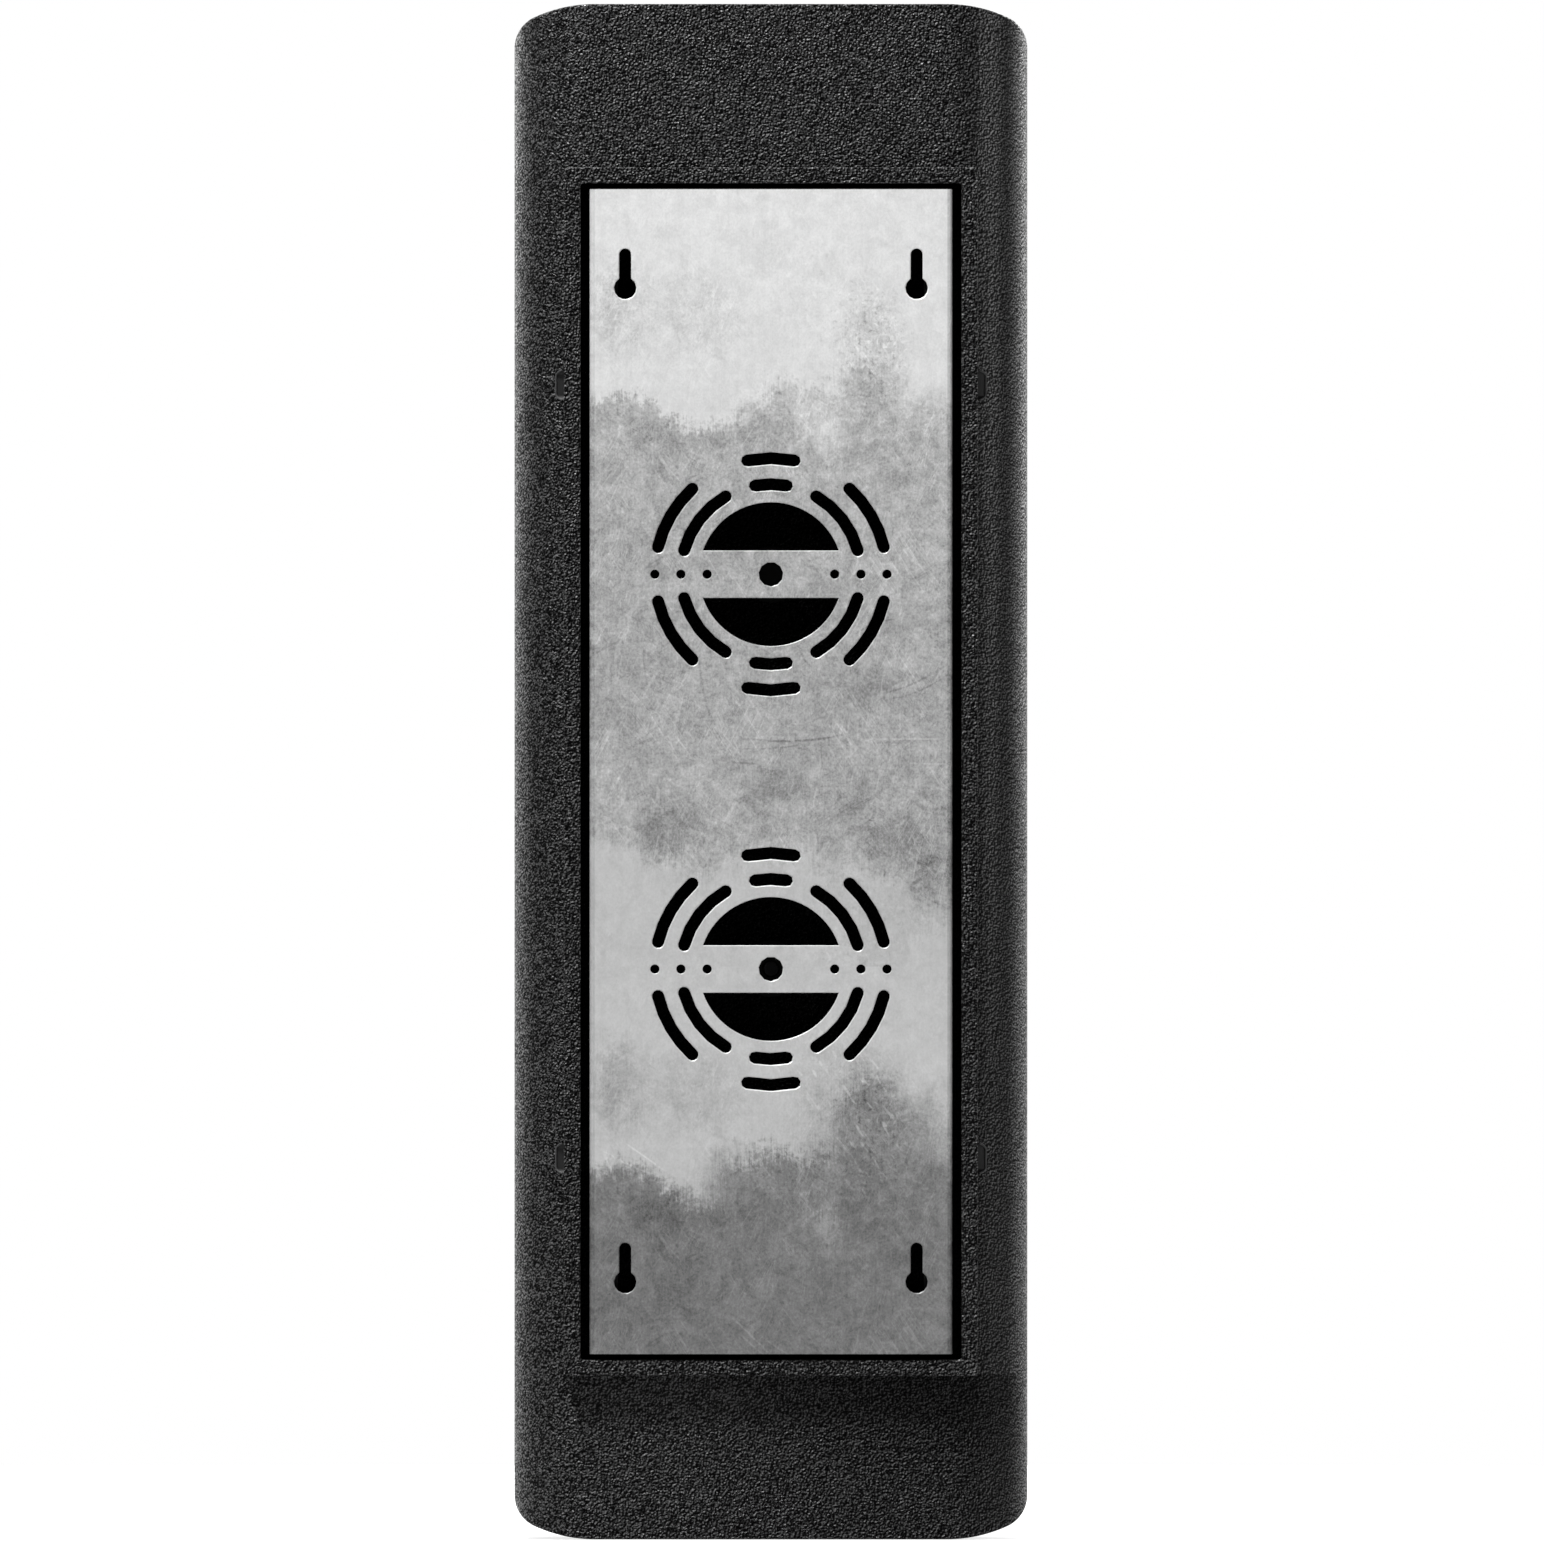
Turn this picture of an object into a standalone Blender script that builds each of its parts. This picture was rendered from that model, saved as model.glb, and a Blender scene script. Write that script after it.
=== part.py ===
"""Pedestrian traffic light: three 200 mm fields (standing figure, countdown, walking figure) in one tall
polycarbonate housing, hung on a galvanised channel plate. Written in millimetres, scaled to metres at the mesh.
+X right and +Z up as seen from the front, the lenses look along -Y, and y = 0 is the wall face of the plate."""

import math

import bmesh
import bpy
from mathutils import Vector
from mathutils.geometry import tessellate_polygon

for old in list(bpy.data.objects):
    bpy.data.objects.remove(old, do_unlink=True)

# ---------------------------------------------------------------- driving dimensions, mm
MM = 0.001
SHARP_DEG = 32.0                        # edges sharper than this are shaded sharp
PAST = 2.0                              # how far many cutters run past a face
HALF_W, HALF_H = 141.0, 421.5           # housing silhouette
CROWN_R, CROWN_DEG, EDGE_R = 82.5, 24.0, 18.2   # its corners: a wide crown arc, then a tight one
CROWN_X = HALF_W - EDGE_R - (CROWN_R - EDGE_R) * math.sin(math.radians(CROWN_DEG))
BACK_Y, FRONT_Y = -9.0, -118.0          # back flat and parting plane
BACK_R = 44.9                           # rounding from the back flat to the sides
WALL = 3.2
SHOULDER_Y, SHOULDER = -98.0, 10.0      # step in to the door rim
REC_Y, REC_FLOOR = -30.6, 3.4           # floor of the plate recess and its thickness
RING_Z = 108.35                         # bracket patterns above and below centre
FIELD_PITCH = 274.8                     # lens centre to lens centre
FIELD_Z = (FIELD_PITCH, 0.0, -FIELD_PITCH)
HINGE_X, HINGE_Y, HINGE_DZ = -136.0, -118.2, 80.0
BARREL_R, PIN_R, PIN_HOLE_R = 4.5, 2.0, 2.5
STUD, STUD_HOLE_R = 113.0, 3.2          # quarter-turn studs, in the door corners
ROUND, SMALL = 24, 20                   # facets round the lens and round the module
SCREW_X, SCREW_Z, SCREW_HOLE_R = 91.0, 290.0, 3.0
PLATE_SCREWS = {
    "upper_left": (-SCREW_X, SCREW_Z), "upper_right": (SCREW_X, SCREW_Z),
    "lower_left": (-SCREW_X, -SCREW_Z), "lower_right": (SCREW_X, -SCREW_Z),
}


# ---------------------------------------------------------------- materials
def material(name, colour, roughness, metallic=0.0, alpha=1.0):
    mat = bpy.data.materials.new(name)
    mat.use_nodes = True
    inputs = mat.node_tree.nodes["Principled BSDF"].inputs
    inputs["Base Color"].default_value = (*colour, 1.0)
    inputs["Roughness"].default_value = roughness
    inputs["Metallic"].default_value = metallic
    inputs["Alpha"].default_value = alpha
    mat.diffuse_color = (*colour, alpha)
    return mat


GRAIN = material("grained_polycarbonate", colour=(0.028, 0.028, 0.029), roughness=0.48)
ZINC = material("galvanised_steel", colour=(0.56, 0.57, 0.57), roughness=0.42, metallic=0.85)
BLACK = material("black_moulding", colour=(0.03, 0.03, 0.032), roughness=0.55)
STEEL = material("stainless_steel", colour=(0.62, 0.62, 0.6), roughness=0.28, metallic=1.0)
RUBBER = material("epdm_rubber", colour=(0.02, 0.02, 0.02), roughness=0.85)
CLEAR = material("clear_polycarbonate", colour=(0.75, 0.78, 0.8), roughness=0.08, alpha=0.4)
RED = material("red_diffuser", colour=(0.75, 0.03, 0.02), roughness=0.35)
AMBER = material("amber_diffuser", colour=(0.85, 0.36, 0.03), roughness=0.35)
GREEN = material("green_diffuser", colour=(0.02, 0.5, 0.27), roughness=0.35)
BOARD = material("circuit_board", colour=(0.03, 0.2, 0.08), roughness=0.5)
GREY = material("grey_polyamide", colour=(0.4, 0.42, 0.43), roughness=0.5)
CABLE = material("cable_sheath", colour=(0.03, 0.03, 0.035), roughness=0.6)


# ---------------------------------------------------------------- objects and Booleans
def shade(mesh):
    mesh.shade_smooth()
    mesh.set_sharp_from_angle(angle=math.radians(SHARP_DEG))


def finish(name, shape, mat=None, pivot=(0, 0, 0)):
    """A closed bmesh in mm becomes one object in metres, its origin on the pivot."""
    bmesh.ops.remove_doubles(shape, verts=shape.verts, dist=1e-4)
    bmesh.ops.recalc_face_normals(shape, faces=shape.faces)
    pivot = Vector(pivot)
    for vert in shape.verts:
        vert.co = (vert.co - pivot) * MM
    mesh = bpy.data.meshes.new(name)
    shape.to_mesh(mesh)
    shape.free()
    if mat:
        mesh.materials.append(mat)
    shade(mesh)
    obj = bpy.data.objects.new(name, mesh)
    obj.location = pivot * MM
    bpy.context.scene.collection.objects.link(obj)
    return obj


def boolean(obj, tool, operation):
    """Applies an exact Boolean and drops the tool object."""
    modifier = obj.modifiers.new("boolean", "BOOLEAN")
    modifier.operation = operation
    modifier.solver = "EXACT"
    modifier.object = tool
    bpy.context.view_layer.update()
    graph = bpy.context.evaluated_depsgraph_get()
    mesh = bpy.data.meshes.new_from_object(obj.evaluated_get(graph))
    obj.modifiers.clear()
    clean = bmesh.new()
    clean.from_mesh(mesh)
    bmesh.ops.remove_doubles(clean, verts=clean.verts, dist=2e-6)
    bmesh.ops.dissolve_degenerate(clean, edges=clean.edges, dist=1e-6)
    clean.to_mesh(mesh)
    clean.free()
    replaced = obj.data
    obj.data = mesh
    bpy.data.meshes.remove(replaced)
    bpy.data.objects.remove(tool, do_unlink=True)
    shade(mesh)
    mesh.name = obj.name


def cut(obj, shape):
    boolean(obj, finish("tool", shape), "DIFFERENCE")


def add(obj, shape):
    boolean(obj, finish("tool", shape), "UNION")


def keep(obj, shape):
    """Keeps only what lies inside the shape."""
    boolean(obj, finish("tool", shape), "INTERSECT")


def empty(name, where):
    obj = bpy.data.objects.new(name, None)
    obj.location = Vector(where) * MM
    bpy.context.scene.collection.objects.link(obj)
    return obj


def hang(child, parent):
    """Parents child to a parent that has no parent itself yet, without moving it."""
    child.parent = parent
    child.location = child.location - parent.location


# ---------------------------------------------------------------- flat outlines
def arc(u, v, radius, start, end, steps):
    """Points round (u, v) from start to end degrees, both ends included."""
    angles = [math.radians(start + (end - start) * k / steps) for k in range(steps + 1)]
    return [(u + radius * math.cos(t), v + radius * math.sin(t)) for t in angles]


def circle(u, v, radius, segs, turn=0.0):
    """Circle of segs points, turned by a fraction of a facet."""
    angles = [2 * math.pi * (k + turn) / segs for k in range(segs)]
    return [(u + radius * math.cos(t), v + radius * math.sin(t)) for t in angles]


def rounded(u, v, half_u, half_v, radius, steps):
    """Rectangle centred on (u, v) with round corners, anticlockwise."""
    points = []
    for side, level, start in ((1, -1, -90), (1, 1, 0), (-1, 1, 90), (-1, -1, 180)):
        corner_u = u + side * (half_u - radius)
        corner_v = v + level * (half_v - radius)
        points += arc(corner_u, corner_v, radius, start, start + 90, steps)
    return points


def field_square(zc, half, radius):
    return rounded(0, zc, half, half, radius, 4)


def arc_slot(zc, ring, start, end, half, steps):
    """Slot along a ring round (0, zc) from start to end degrees, with round ends."""
    def cap(at, turn):
        t = math.radians(at)
        end_x = ring * math.cos(t)
        end_z = zc + ring * math.sin(t)
        return arc(end_x, end_z, half, at + turn, at + turn + 180, 3)[1:-1]

    outer = arc(0, zc, ring + half, start, end, steps)
    inner = arc(0, zc, ring - half, end, start, steps)
    return outer + cap(end, 0) + inner + cap(start, 180)


def mirrored(right):
    """Closes a right half with its mirror image."""
    return right + [(-x, v) for x, v in reversed(right)]


# ---------------------------------------------------------------- solids, each a new bmesh
def place(u, v, depth, axis):
    """A point of a flat outline at a depth along the axis."""
    return {"Y": (u, depth, v), "Z": (u, v, depth), "X": (depth, u, v)}[axis]


def bridge(shape, near, far):
    """Quads between two rings of equally many vertices."""
    for i in range(len(near)):
        j = (i + 1) % len(near)
        shape.faces.new((near[i], near[j], far[j], far[i]))


def prism(loops, start, end, axis="Y", shape=None):
    """Outline with holes, extruded along the axis; goes into a given bmesh or a new one."""
    shape = shape or bmesh.new()
    flat = [point for loop in loops for point in loop]
    triangles = tessellate_polygon([[Vector((*point, 0)) for point in loop] for loop in loops])
    low = [shape.verts.new(place(u, v, start, axis)) for u, v in flat]
    high = [shape.verts.new(place(u, v, end, axis)) for u, v in flat]
    for i, j, k in triangles:
        shape.faces.new((low[i], low[j], low[k]))
        shape.faces.new((high[k], high[j], high[i]))
    first = 0
    for loop in loops:
        last = first + len(loop)
        bridge(shape, low[first:last], high[first:last])
        first = last
    return shape


def box(x, z, half_x, half_z, y0, y1):
    """Box centred on x and z."""
    x0, x1 = x - half_x, x + half_x
    z0, z1 = z - half_z, z + half_z
    return prism([[(x0, z0), (x1, z0), (x1, z1), (x0, z1)]], y0, y1)


def lathe(profile, segs, centre, axis="Y"):
    """Closed (radius, height) profile turned about an axis through centre. Radius 0 stays single."""
    shape = bmesh.new()
    rings = []
    for radius, height in profile:
        ring = []
        for u, v in circle(0, 0, radius, segs if radius else 1):
            point = place(u, v, height, axis)
            ring.append(shape.verts.new([c + p for c, p in zip(centre, point)]))
        rings.append(ring)
    for near, far in zip(rings, rings[1:] + rings[:1]):
        if len(near) == 1 and len(far) == 1:
            continue
        for k in range(segs):
            n = (k + 1) % segs
            if len(near) == 1:
                shape.faces.new((near[0], far[k], far[n]))
            elif len(far) == 1:
                shape.faces.new((near[k], far[0], near[n]))
            else:
                shape.faces.new((near[k], far[k], far[n], near[n]))
    return shape


def rod(radius, start, end, segs, centre, axis="Y"):
    return lathe([(0, start), (radius, start), (radius, end), (0, end)], segs, centre, axis)


def loft(rings):
    """Rings of equally many points, joined in order and capped at both ends."""
    shape = bmesh.new()
    made = [[shape.verts.new(point) for point in ring] for ring in rings]
    for near, far in zip(made, made[1:]):
        bridge(shape, near, far)
    shape.faces.new(made[0])
    shape.faces.new(list(reversed(made[-1])))
    return shape


def at_depth(outline, y):
    return [(x, y, z) for x, z in outline]


def knuckle(side, z0, z1):
    """Hinge barrel with its foot behind (side 1) or in front of (side -1) the hinge axis."""
    foot_x = HINGE_X + 8.0
    barrel = arc(HINGE_X, HINGE_Y, BARREL_R, side * 90, side * 360, 5)
    outline = [(foot_x, HINGE_Y + side * BARREL_R)] + barrel + [(foot_x, HINGE_Y + side * 0.6)]
    return prism([outline, circle(HINGE_X, HINGE_Y, PIN_HOLE_R, 8, 0.5)], z0, z1, axis="Z")


# ---------------------------------------------------------------- housing
PAD_W, PAD_H, PAD_Y = 113.6, 331.7, -1.0        # raised rear pad, half sizes
REC_W, REC_H = 104.5, 322.9                     # recess for the mounting plate, half sizes
FIELD_OPENING = (117.0, 50.0)                   # half side, corner radius
BOSS_R, BOSS_BACK_Y = 6.5, -103.0               # stud bosses
HOUSING_KNUCKLE = (10.5, 20.5)                  # its span above and below each hinge station
BAND_Z, BAND_HALF = 212.3, 9.0                  # slots for pole bands
BAND_BLOCK_HALF = 13.0
BAND_SLOT_Y, BAND_SLOT_HALF_Y, BAND_SLOT_R = -9.75, 4.25, 3.8
BAND_SLOT_X = (101.0, 126.0)
BAND_BLOCK = [                                  # (x, y)
    (106.0, -12.4), (112.0, -12.9), (118.0, -15.7), (121.5, -18.0), (121.5, -21.5), (106.0, -21.5),
]
ENTRY_R = 12.0
DRAIN_Y, DRAIN_R = -70.0, 6.0


def crown_quarter(inset):
    """Top flat to right side of the housing outline, moved in by inset."""
    crown_z = HALF_H - CROWN_R
    edge_z = crown_z + (CROWN_R - EDGE_R) * math.cos(math.radians(CROWN_DEG))
    turn = 90 - CROWN_DEG
    crown = arc(CROWN_X, crown_z, CROWN_R - inset, 90, turn, 2)
    return crown + arc(HALF_W - EDGE_R, edge_z, EDGE_R - inset, turn, 0, 3)[1:]


def body_loft(stations):
    """The tall outline lofted through (y, inset) stations."""
    rings = []
    for y, inset in stations:
        quarter = crown_quarter(inset)
        outline = mirrored(quarter + [(x, -z) for x, z in reversed(quarter)])
        rings.append(at_depth(outline, y))
    return loft(rings)


def plan_prism(inset, half_height):
    """The housing from above: back flat, big rounded back corners, then out past the sides."""
    centre_y = BACK_Y - BACK_R
    right = arc(CROWN_X, centre_y, BACK_R - inset, 90, 0, 5)
    right += [(170.0, centre_y - 1.0), (170.0, -130.0)]
    return prism([mirrored(right)], -half_height, half_height, axis="Z")


def housing_shell():
    shoulder = arc(SHOULDER_Y, SHOULDER, SHOULDER, 270, 180, 3)
    housing = finish("housing", body_loft([(4.0, 0.0)] + shoulder + [(FRONT_Y, SHOULDER)]), GRAIN)
    keep(housing, plan_prism(0.0, 440))
    add(housing, prism([rounded(0, 0, PAD_W, PAD_H, 2.5, 1)], PAD_Y, -24.0))

    neck = WALL + SHOULDER
    cavity = finish("tool", body_loft([
        (6.0, WALL), (SHOULDER_Y + 1, WALL), (SHOULDER_Y - 7, neck), (FRONT_Y + WALL, neck),
    ]))
    keep(cavity, plan_prism(WALL, 430))
    around_recess = rounded(0, 0, REC_W + WALL, REC_H + WALL, 4.0, 1)
    cut(cavity, prism([around_recess], 8.0, REC_Y - REC_FLOOR))
    boolean(housing, cavity, "DIFFERENCE")
    cut(housing, prism([rounded(0, 0, REC_W, REC_H, 1.5, 1)], 9.0, REC_Y))
    return housing


def housing_field(housing, zc):
    """Stud bosses behind the rim, the field opening, stud holes and hinge knuckles."""
    corners = [(STUD, 0, zc + STUD), (STUD, 0, zc - STUD)]
    for corner in corners:
        add(housing, rod(BOSS_R, FRONT_Y + 1.2, BOSS_BACK_Y, 10, corner))
    cut(housing, prism([field_square(zc, *FIELD_OPENING)], FRONT_Y - PAST, FRONT_Y + WALL + PAST))
    for corner in corners:
        cut(housing, rod(STUD_HOLE_R, FRONT_Y - PAST, BOSS_BACK_Y + PAST, 8, corner))
    near, far = HOUSING_KNUCKLE
    for dz in (HINGE_DZ, -HINGE_DZ):
        for z0, z1 in ((near, far), (-far, -near)):
            add(housing, knuckle(1, zc + dz + z0, zc + dz + z1))


def band_slots(housing):
    """Slots through the pad's side walls, with the wall thickened behind them."""
    for side in (1, -1):
        block = [(side * x, y) for x, y in BAND_BLOCK]
        for z in (BAND_Z, -BAND_Z):
            add(housing, prism([block], z - BAND_BLOCK_HALF, z + BAND_BLOCK_HALF, axis="Z"))
            slot = rounded(BAND_SLOT_Y, z, BAND_SLOT_HALF_Y, BAND_HALF, BAND_SLOT_R, 2)
            cut(housing, prism([slot], *sorted(side * x for x in BAND_SLOT_X), axis="X"))


def small_openings(housing):
    """Cable entries and plate screw holes in the recess floor, drain hole in the bottom wall."""
    floor_cut = (REC_Y + PAST, REC_Y - 6.0)
    for z in (RING_Z, -RING_Z):
        cut(housing, rod(ENTRY_R, *floor_cut, 16, (0, 0, z)))
    for x, z in PLATE_SCREWS.values():
        cut(housing, rod(SCREW_HOLE_R, *floor_cut, 8, (x, 0, z)))
    cut(housing, rod(DRAIN_R, -HALF_H - 3, -HALF_H + 8, 10, (0, DRAIN_Y, 0), axis="Z"))


housing = housing_shell()
for zc in FIELD_Z:
    housing_field(housing, zc)
band_slots(housing)
small_openings(housing)

# ---------------------------------------------------------------- mounting plate
PLATE_W, PLATE_H, PLATE_T, PLATE_D = 99.5, 319.7, 2.0, 30.0     # half width, half height
BEND_R, LIP_X = 2.8, 84.0               # outer bend radius, free edge of the lips
NUT_R, NUT_Y = 5.4, (-28.6, -23.6)      # hexagonal weld nuts on the lips
KEY_X, KEY_Z, KEY_R, KEY_SLOT, KEY_RUN = 80.0, (265.4, -280.2), 6.15, 3.3, 18.4
CENTRE_HOLE_R, SMALL_HOLE_R = 6.75, 2.55
SEGMENT_R, SEGMENT_SIN = 39.5, 13.0     # circle segments: radius, distance of the chord from centre
SLOT_HALF = 3.35
SLOT_RINGS = (      # radius, then in degrees: diagonal slot from, to, half span of top and bottom slots
    (49.4, 15.4, 59.8, 10.2),
    (63.7, 13.5, 47.4, 11.8),
)
SMALL_HOLE_X = (35.0, 49.4, 63.7)       # the outer two lie on the slot rings


def channel_side(inset):
    """Right half of the channel section, web corner to lip end."""
    x = PLATE_W - BEND_R
    bend = BEND_R - inset
    web = arc(x, -BEND_R, bend, 90, 0, 3)
    return web + arc(x, BEND_R - PLATE_D, bend, 0, -90, 3) + [(LIP_X, inset - PLATE_D)]


def keyhole(x, z):
    """Round hole with a slot running up from it."""
    neck = math.degrees(math.asin(KEY_SLOT / KEY_R))
    return arc(x, z, KEY_R, 90 + neck, 450 - neck, 10) + arc(x, z + KEY_RUN, KEY_SLOT, 0, 180, 5)


def bracket_pattern(zc):
    holes = [circle(0, zc, CENTRE_HOLE_R, 14)]
    for x in SMALL_HOLE_X:
        holes += [circle(side * x, zc, SMALL_HOLE_R, 8, 0.5) for side in (1, -1)]
    chord = math.degrees(math.asin(SEGMENT_SIN / SEGMENT_R))
    for side in (1, -1):
        holes.append(arc(0, zc, SEGMENT_R, side * chord, side * (180 - chord), 10))
    for ring, low, high, span in SLOT_RINGS:
        diagonals = (low, high), (180 - high, 180 - low), (180 + low, 180 + high), (360 - high, 360 - low)
        holes += [arc_slot(zc, ring, *ends, SLOT_HALF, 3) for ends in diagonals]
        for middle in (90, 270):
            holes.append(arc_slot(zc, ring, middle - span, middle + span, SLOT_HALF, 2))
    return holes


def mounting_plate():
    """Lipped channel with keyholes and bracket patterns."""
    section = mirrored(channel_side(0.0) + channel_side(PLATE_T)[::-1])
    plate = finish("mounting_plate", prism([section], -PLATE_H, PLATE_H, axis="Z"), ZINC)
    for x, z in PLATE_SCREWS.values():
        add(plate, rod(NUT_R, *NUT_Y, 6, (x, 0, z)))
        cut(plate, rod(SCREW_HOLE_R, -33.0, -20.0, 8, (x, 0, z)))
    holes = [keyhole(x, z) for x in (-KEY_X, KEY_X) for z in KEY_Z]
    holes += bracket_pattern(RING_Z) + bracket_pattern(-RING_Z)
    cutter = bmesh.new()
    for hole in holes:
        prism([hole], 1.5, -4.0, shape=cutter)
    cut(plate, cutter)


mounting_plate()

# ---------------------------------------------------------------- screws, rubbers and plugs on the housing
SCREW_SEAT_Y = -34.35
SCREW_PROFILE = [       # (radius, y)
    (0, -36.4), (2.2, -37.9), (4.4, -37.4), (4.7, SCREW_SEAT_Y), (2.4, SCREW_SEAT_Y),
    (2.4, -21.6), (0, -21.6),
]
GROMMET_PROFILE = [     # (radius, y)
    (4.6, -28.0), (9.5, -28.0), (15.5, -29.2), (15.5, -30.3), (11.6, -30.3),
    (11.6, -34.3), (15.0, -34.3), (15.0, -36.0), (8.5, -40.5), (4.6, -40.5),
]
BLANKING_PROFILE = [    # (radius, y)
    (0, -28.6), (14.0, -28.6), (15.5, -29.4), (15.5, -30.3), (11.6, -30.3), (11.6, -34.3),
    (13.2, -34.3), (12.0, -37.5), (9.5, -37.5), (9.5, -32.0), (0, -32.0),
]
DRAIN_PROFILE = [       # (radius, z above the housing's bottom)
    (0, 0.3), (5.3, 0.3), (5.3, 3.6), (8.0, 3.6), (7.2, 6.4), (0, 6.4),
]

for tag, (x, z) in PLATE_SCREWS.items():
    screw = lathe(SCREW_PROFILE, 10, (x, 0, z))
    finish(f"plate_screw_{tag}", screw, STEEL, (x, SCREW_SEAT_Y, z))

for name, profile, z in (
    ("cable_grommet", GROMMET_PROFILE, -RING_Z),
    ("blanking_plug", BLANKING_PROFILE, RING_Z),
):
    finish(name, lathe(profile, 14, (0, 0, z)), RUBBER, (0, REC_Y, z))

drain = (0, DRAIN_Y, -HALF_H)
finish("drain_plug", lathe(DRAIN_PROFILE, 10, drain, axis="Z"), RUBBER, drain)

# ---------------------------------------------------------------- top-hat rail, terminal block and cable
# They sit on the back wall where the lower two fields meet.
MOUNT_Y = -34.4                         # back of the rail and of the driver case
RAIL_Z, RAIL_HALF = -150.0, 72.0
RAIL_SECTION = [        # (y, z from the rail's centre)
    (MOUNT_Y, -21.0), (MOUNT_Y, -12.5), (-40.9, -12.5), (-40.9, 12.5), (MOUNT_Y, 12.5), (MOUNT_Y, 21.0),
    (-35.4, 21.0), (-35.4, 13.5), (-41.9, 13.5), (-41.9, -13.5), (-35.4, -13.5), (-35.4, -21.0),
]
TERMINAL_Y, TERMINAL_HALF = -42.2, 46.0
TERMINAL_SECTION = [    # (y, z from the rail's centre)
    (TERMINAL_Y, -16.0), (TERMINAL_Y, 16.0), (-55.0, 16.0), (-62.0, 9.0),
    (-66.0, 9.0), (-66.0, -9.0), (-62.0, -9.0), (-55.0, -16.0),
]
TERMINAL_PITCH = 12.0
CABLE_R, CABLE_BEND_Y, CABLE_BEND_R = 4.2, -43.0, 9.0


def rail_prism(section, half_length):
    return prism([[(y, RAIL_Z + z) for y, z in section]], -half_length, half_length, axis="X")


def terminal_block():
    block = rail_prism(TERMINAL_SECTION, TERMINAL_HALF)
    terminal = finish("terminal_block", block, GREY, (0, TERMINAL_Y, RAIL_Z))
    for k in range(7):                  # wire pockets
        cut(terminal, box(TERMINAL_PITCH * (k - 3), RAIL_Z, 3.0, 4.0, -52.0, -70.0))


def supply_cable():
    """Round cable in the plane x = 0, through the grommet and down to the terminal block."""
    bend = arc(CABLE_BEND_Y, -RING_Z - CABLE_BEND_R, CABLE_BEND_R, 90, 180, 3)
    path = [(-27.4, -RING_Z), (CABLE_BEND_Y, -RING_Z)] + bend[1:]
    path.append((CABLE_BEND_Y - CABLE_BEND_R, RAIL_Z + 16.4))
    path = [Vector((0, y, z)) for y, z in path]
    side = Vector((1, 0, 0))
    rings = []
    for i, point in enumerate(path):
        along = (path[min(i + 1, len(path) - 1)] - path[max(i - 1, 0)]).normalized()
        across = along.cross(side)
        rings.append([point + side * u + across * v for u, v in circle(0, 0, CABLE_R, 8)])
    finish("supply_cable", loft(rings), CABLE, (0, REC_Y, -RING_Z))


finish("terminal_rail", rail_prism(RAIL_SECTION, RAIL_HALF), ZINC, (0, MOUNT_Y, RAIL_Z))
terminal_block()
supply_cable()

# ---------------------------------------------------------------- countdown driver
# It sits on the back wall near where the upper two fields meet.
DRIVER_Z, DRIVER_HALF_X, DRIVER_HALF_Z = 174.0, 58.0, 30.0
DRIVER_WALL = 2.0
BOARD_BACK_Y, BOARD_FRONT_Y = -42.3, -43.9
LID_BACK_Y, LID_FRONT_Y = -60.3, -62.6
BOARD_PARTS = (         # centre x, centre z, half x, half z, height
    (-33.5, -3.0, 11.5, 15.0, 12.0),
    (-4.0, 0.0, 10.0, 16.0, 9.0),
    (22.0, -13.0, 6.0, 7.0, 14.0),
    (30.0, 12.0, 14.0, 8.0, 6.0),
)


def driver_box(half_x, half_z, y0, y1, x=0.0, z=0.0):
    """Box placed from the driver's centre."""
    return box(x, DRIVER_Z + z, half_x, half_z, y0, y1)


def driver_case():
    outside = driver_box(DRIVER_HALF_X, DRIVER_HALF_Z, MOUNT_Y, -60.0)
    case = finish("driver_case", outside, BLACK, (0, MOUNT_Y, DRIVER_Z))
    inner_x = DRIVER_HALF_X - DRIVER_WALL
    cut(case, driver_box(inner_x, DRIVER_HALF_Z - DRIVER_WALL, -36.6, -64.0))
    for x in (-50.0, 50.0):             # board rests
        add(case, driver_box(4.0, 24.0, -36.0, -42.0, x=x))


def driver_board():
    sheet = driver_box(55.4, 27.4, BOARD_BACK_Y, BOARD_FRONT_Y)
    board = finish("driver_board", sheet, BOARD, (0, BOARD_BACK_Y, DRIVER_Z))
    for x, z, half_x, half_z, height in BOARD_PARTS:
        add(board, driver_box(half_x, half_z, -43.0, BOARD_FRONT_Y - height, x, z))


def driver_lid():
    cover = driver_box(DRIVER_HALF_X, DRIVER_HALF_Z, LID_BACK_Y, LID_FRONT_Y)
    lid = finish("driver_lid", cover, BLACK, (0, LID_BACK_Y, DRIVER_Z))
    for k in range(5):                  # upright slots
        cut(lid, driver_box(4.0, 18.0, -58.0, -66.0, x=18.0 * (k - 2)))


driver_case()
driver_board()
driver_lid()


# ---------------------------------------------------------------- symbols, as outlines from the field centre
def capsule(x0, z0, x1, z1, r0, r1):
    """Tapered bar with round ends."""
    lean = math.degrees(math.atan2(z1 - z0, x1 - x0))
    return arc(x1, z1, r1, lean - 90, lean + 90, 3) + arc(x0, z0, r0, lean + 90, lean + 270, 3)


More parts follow.
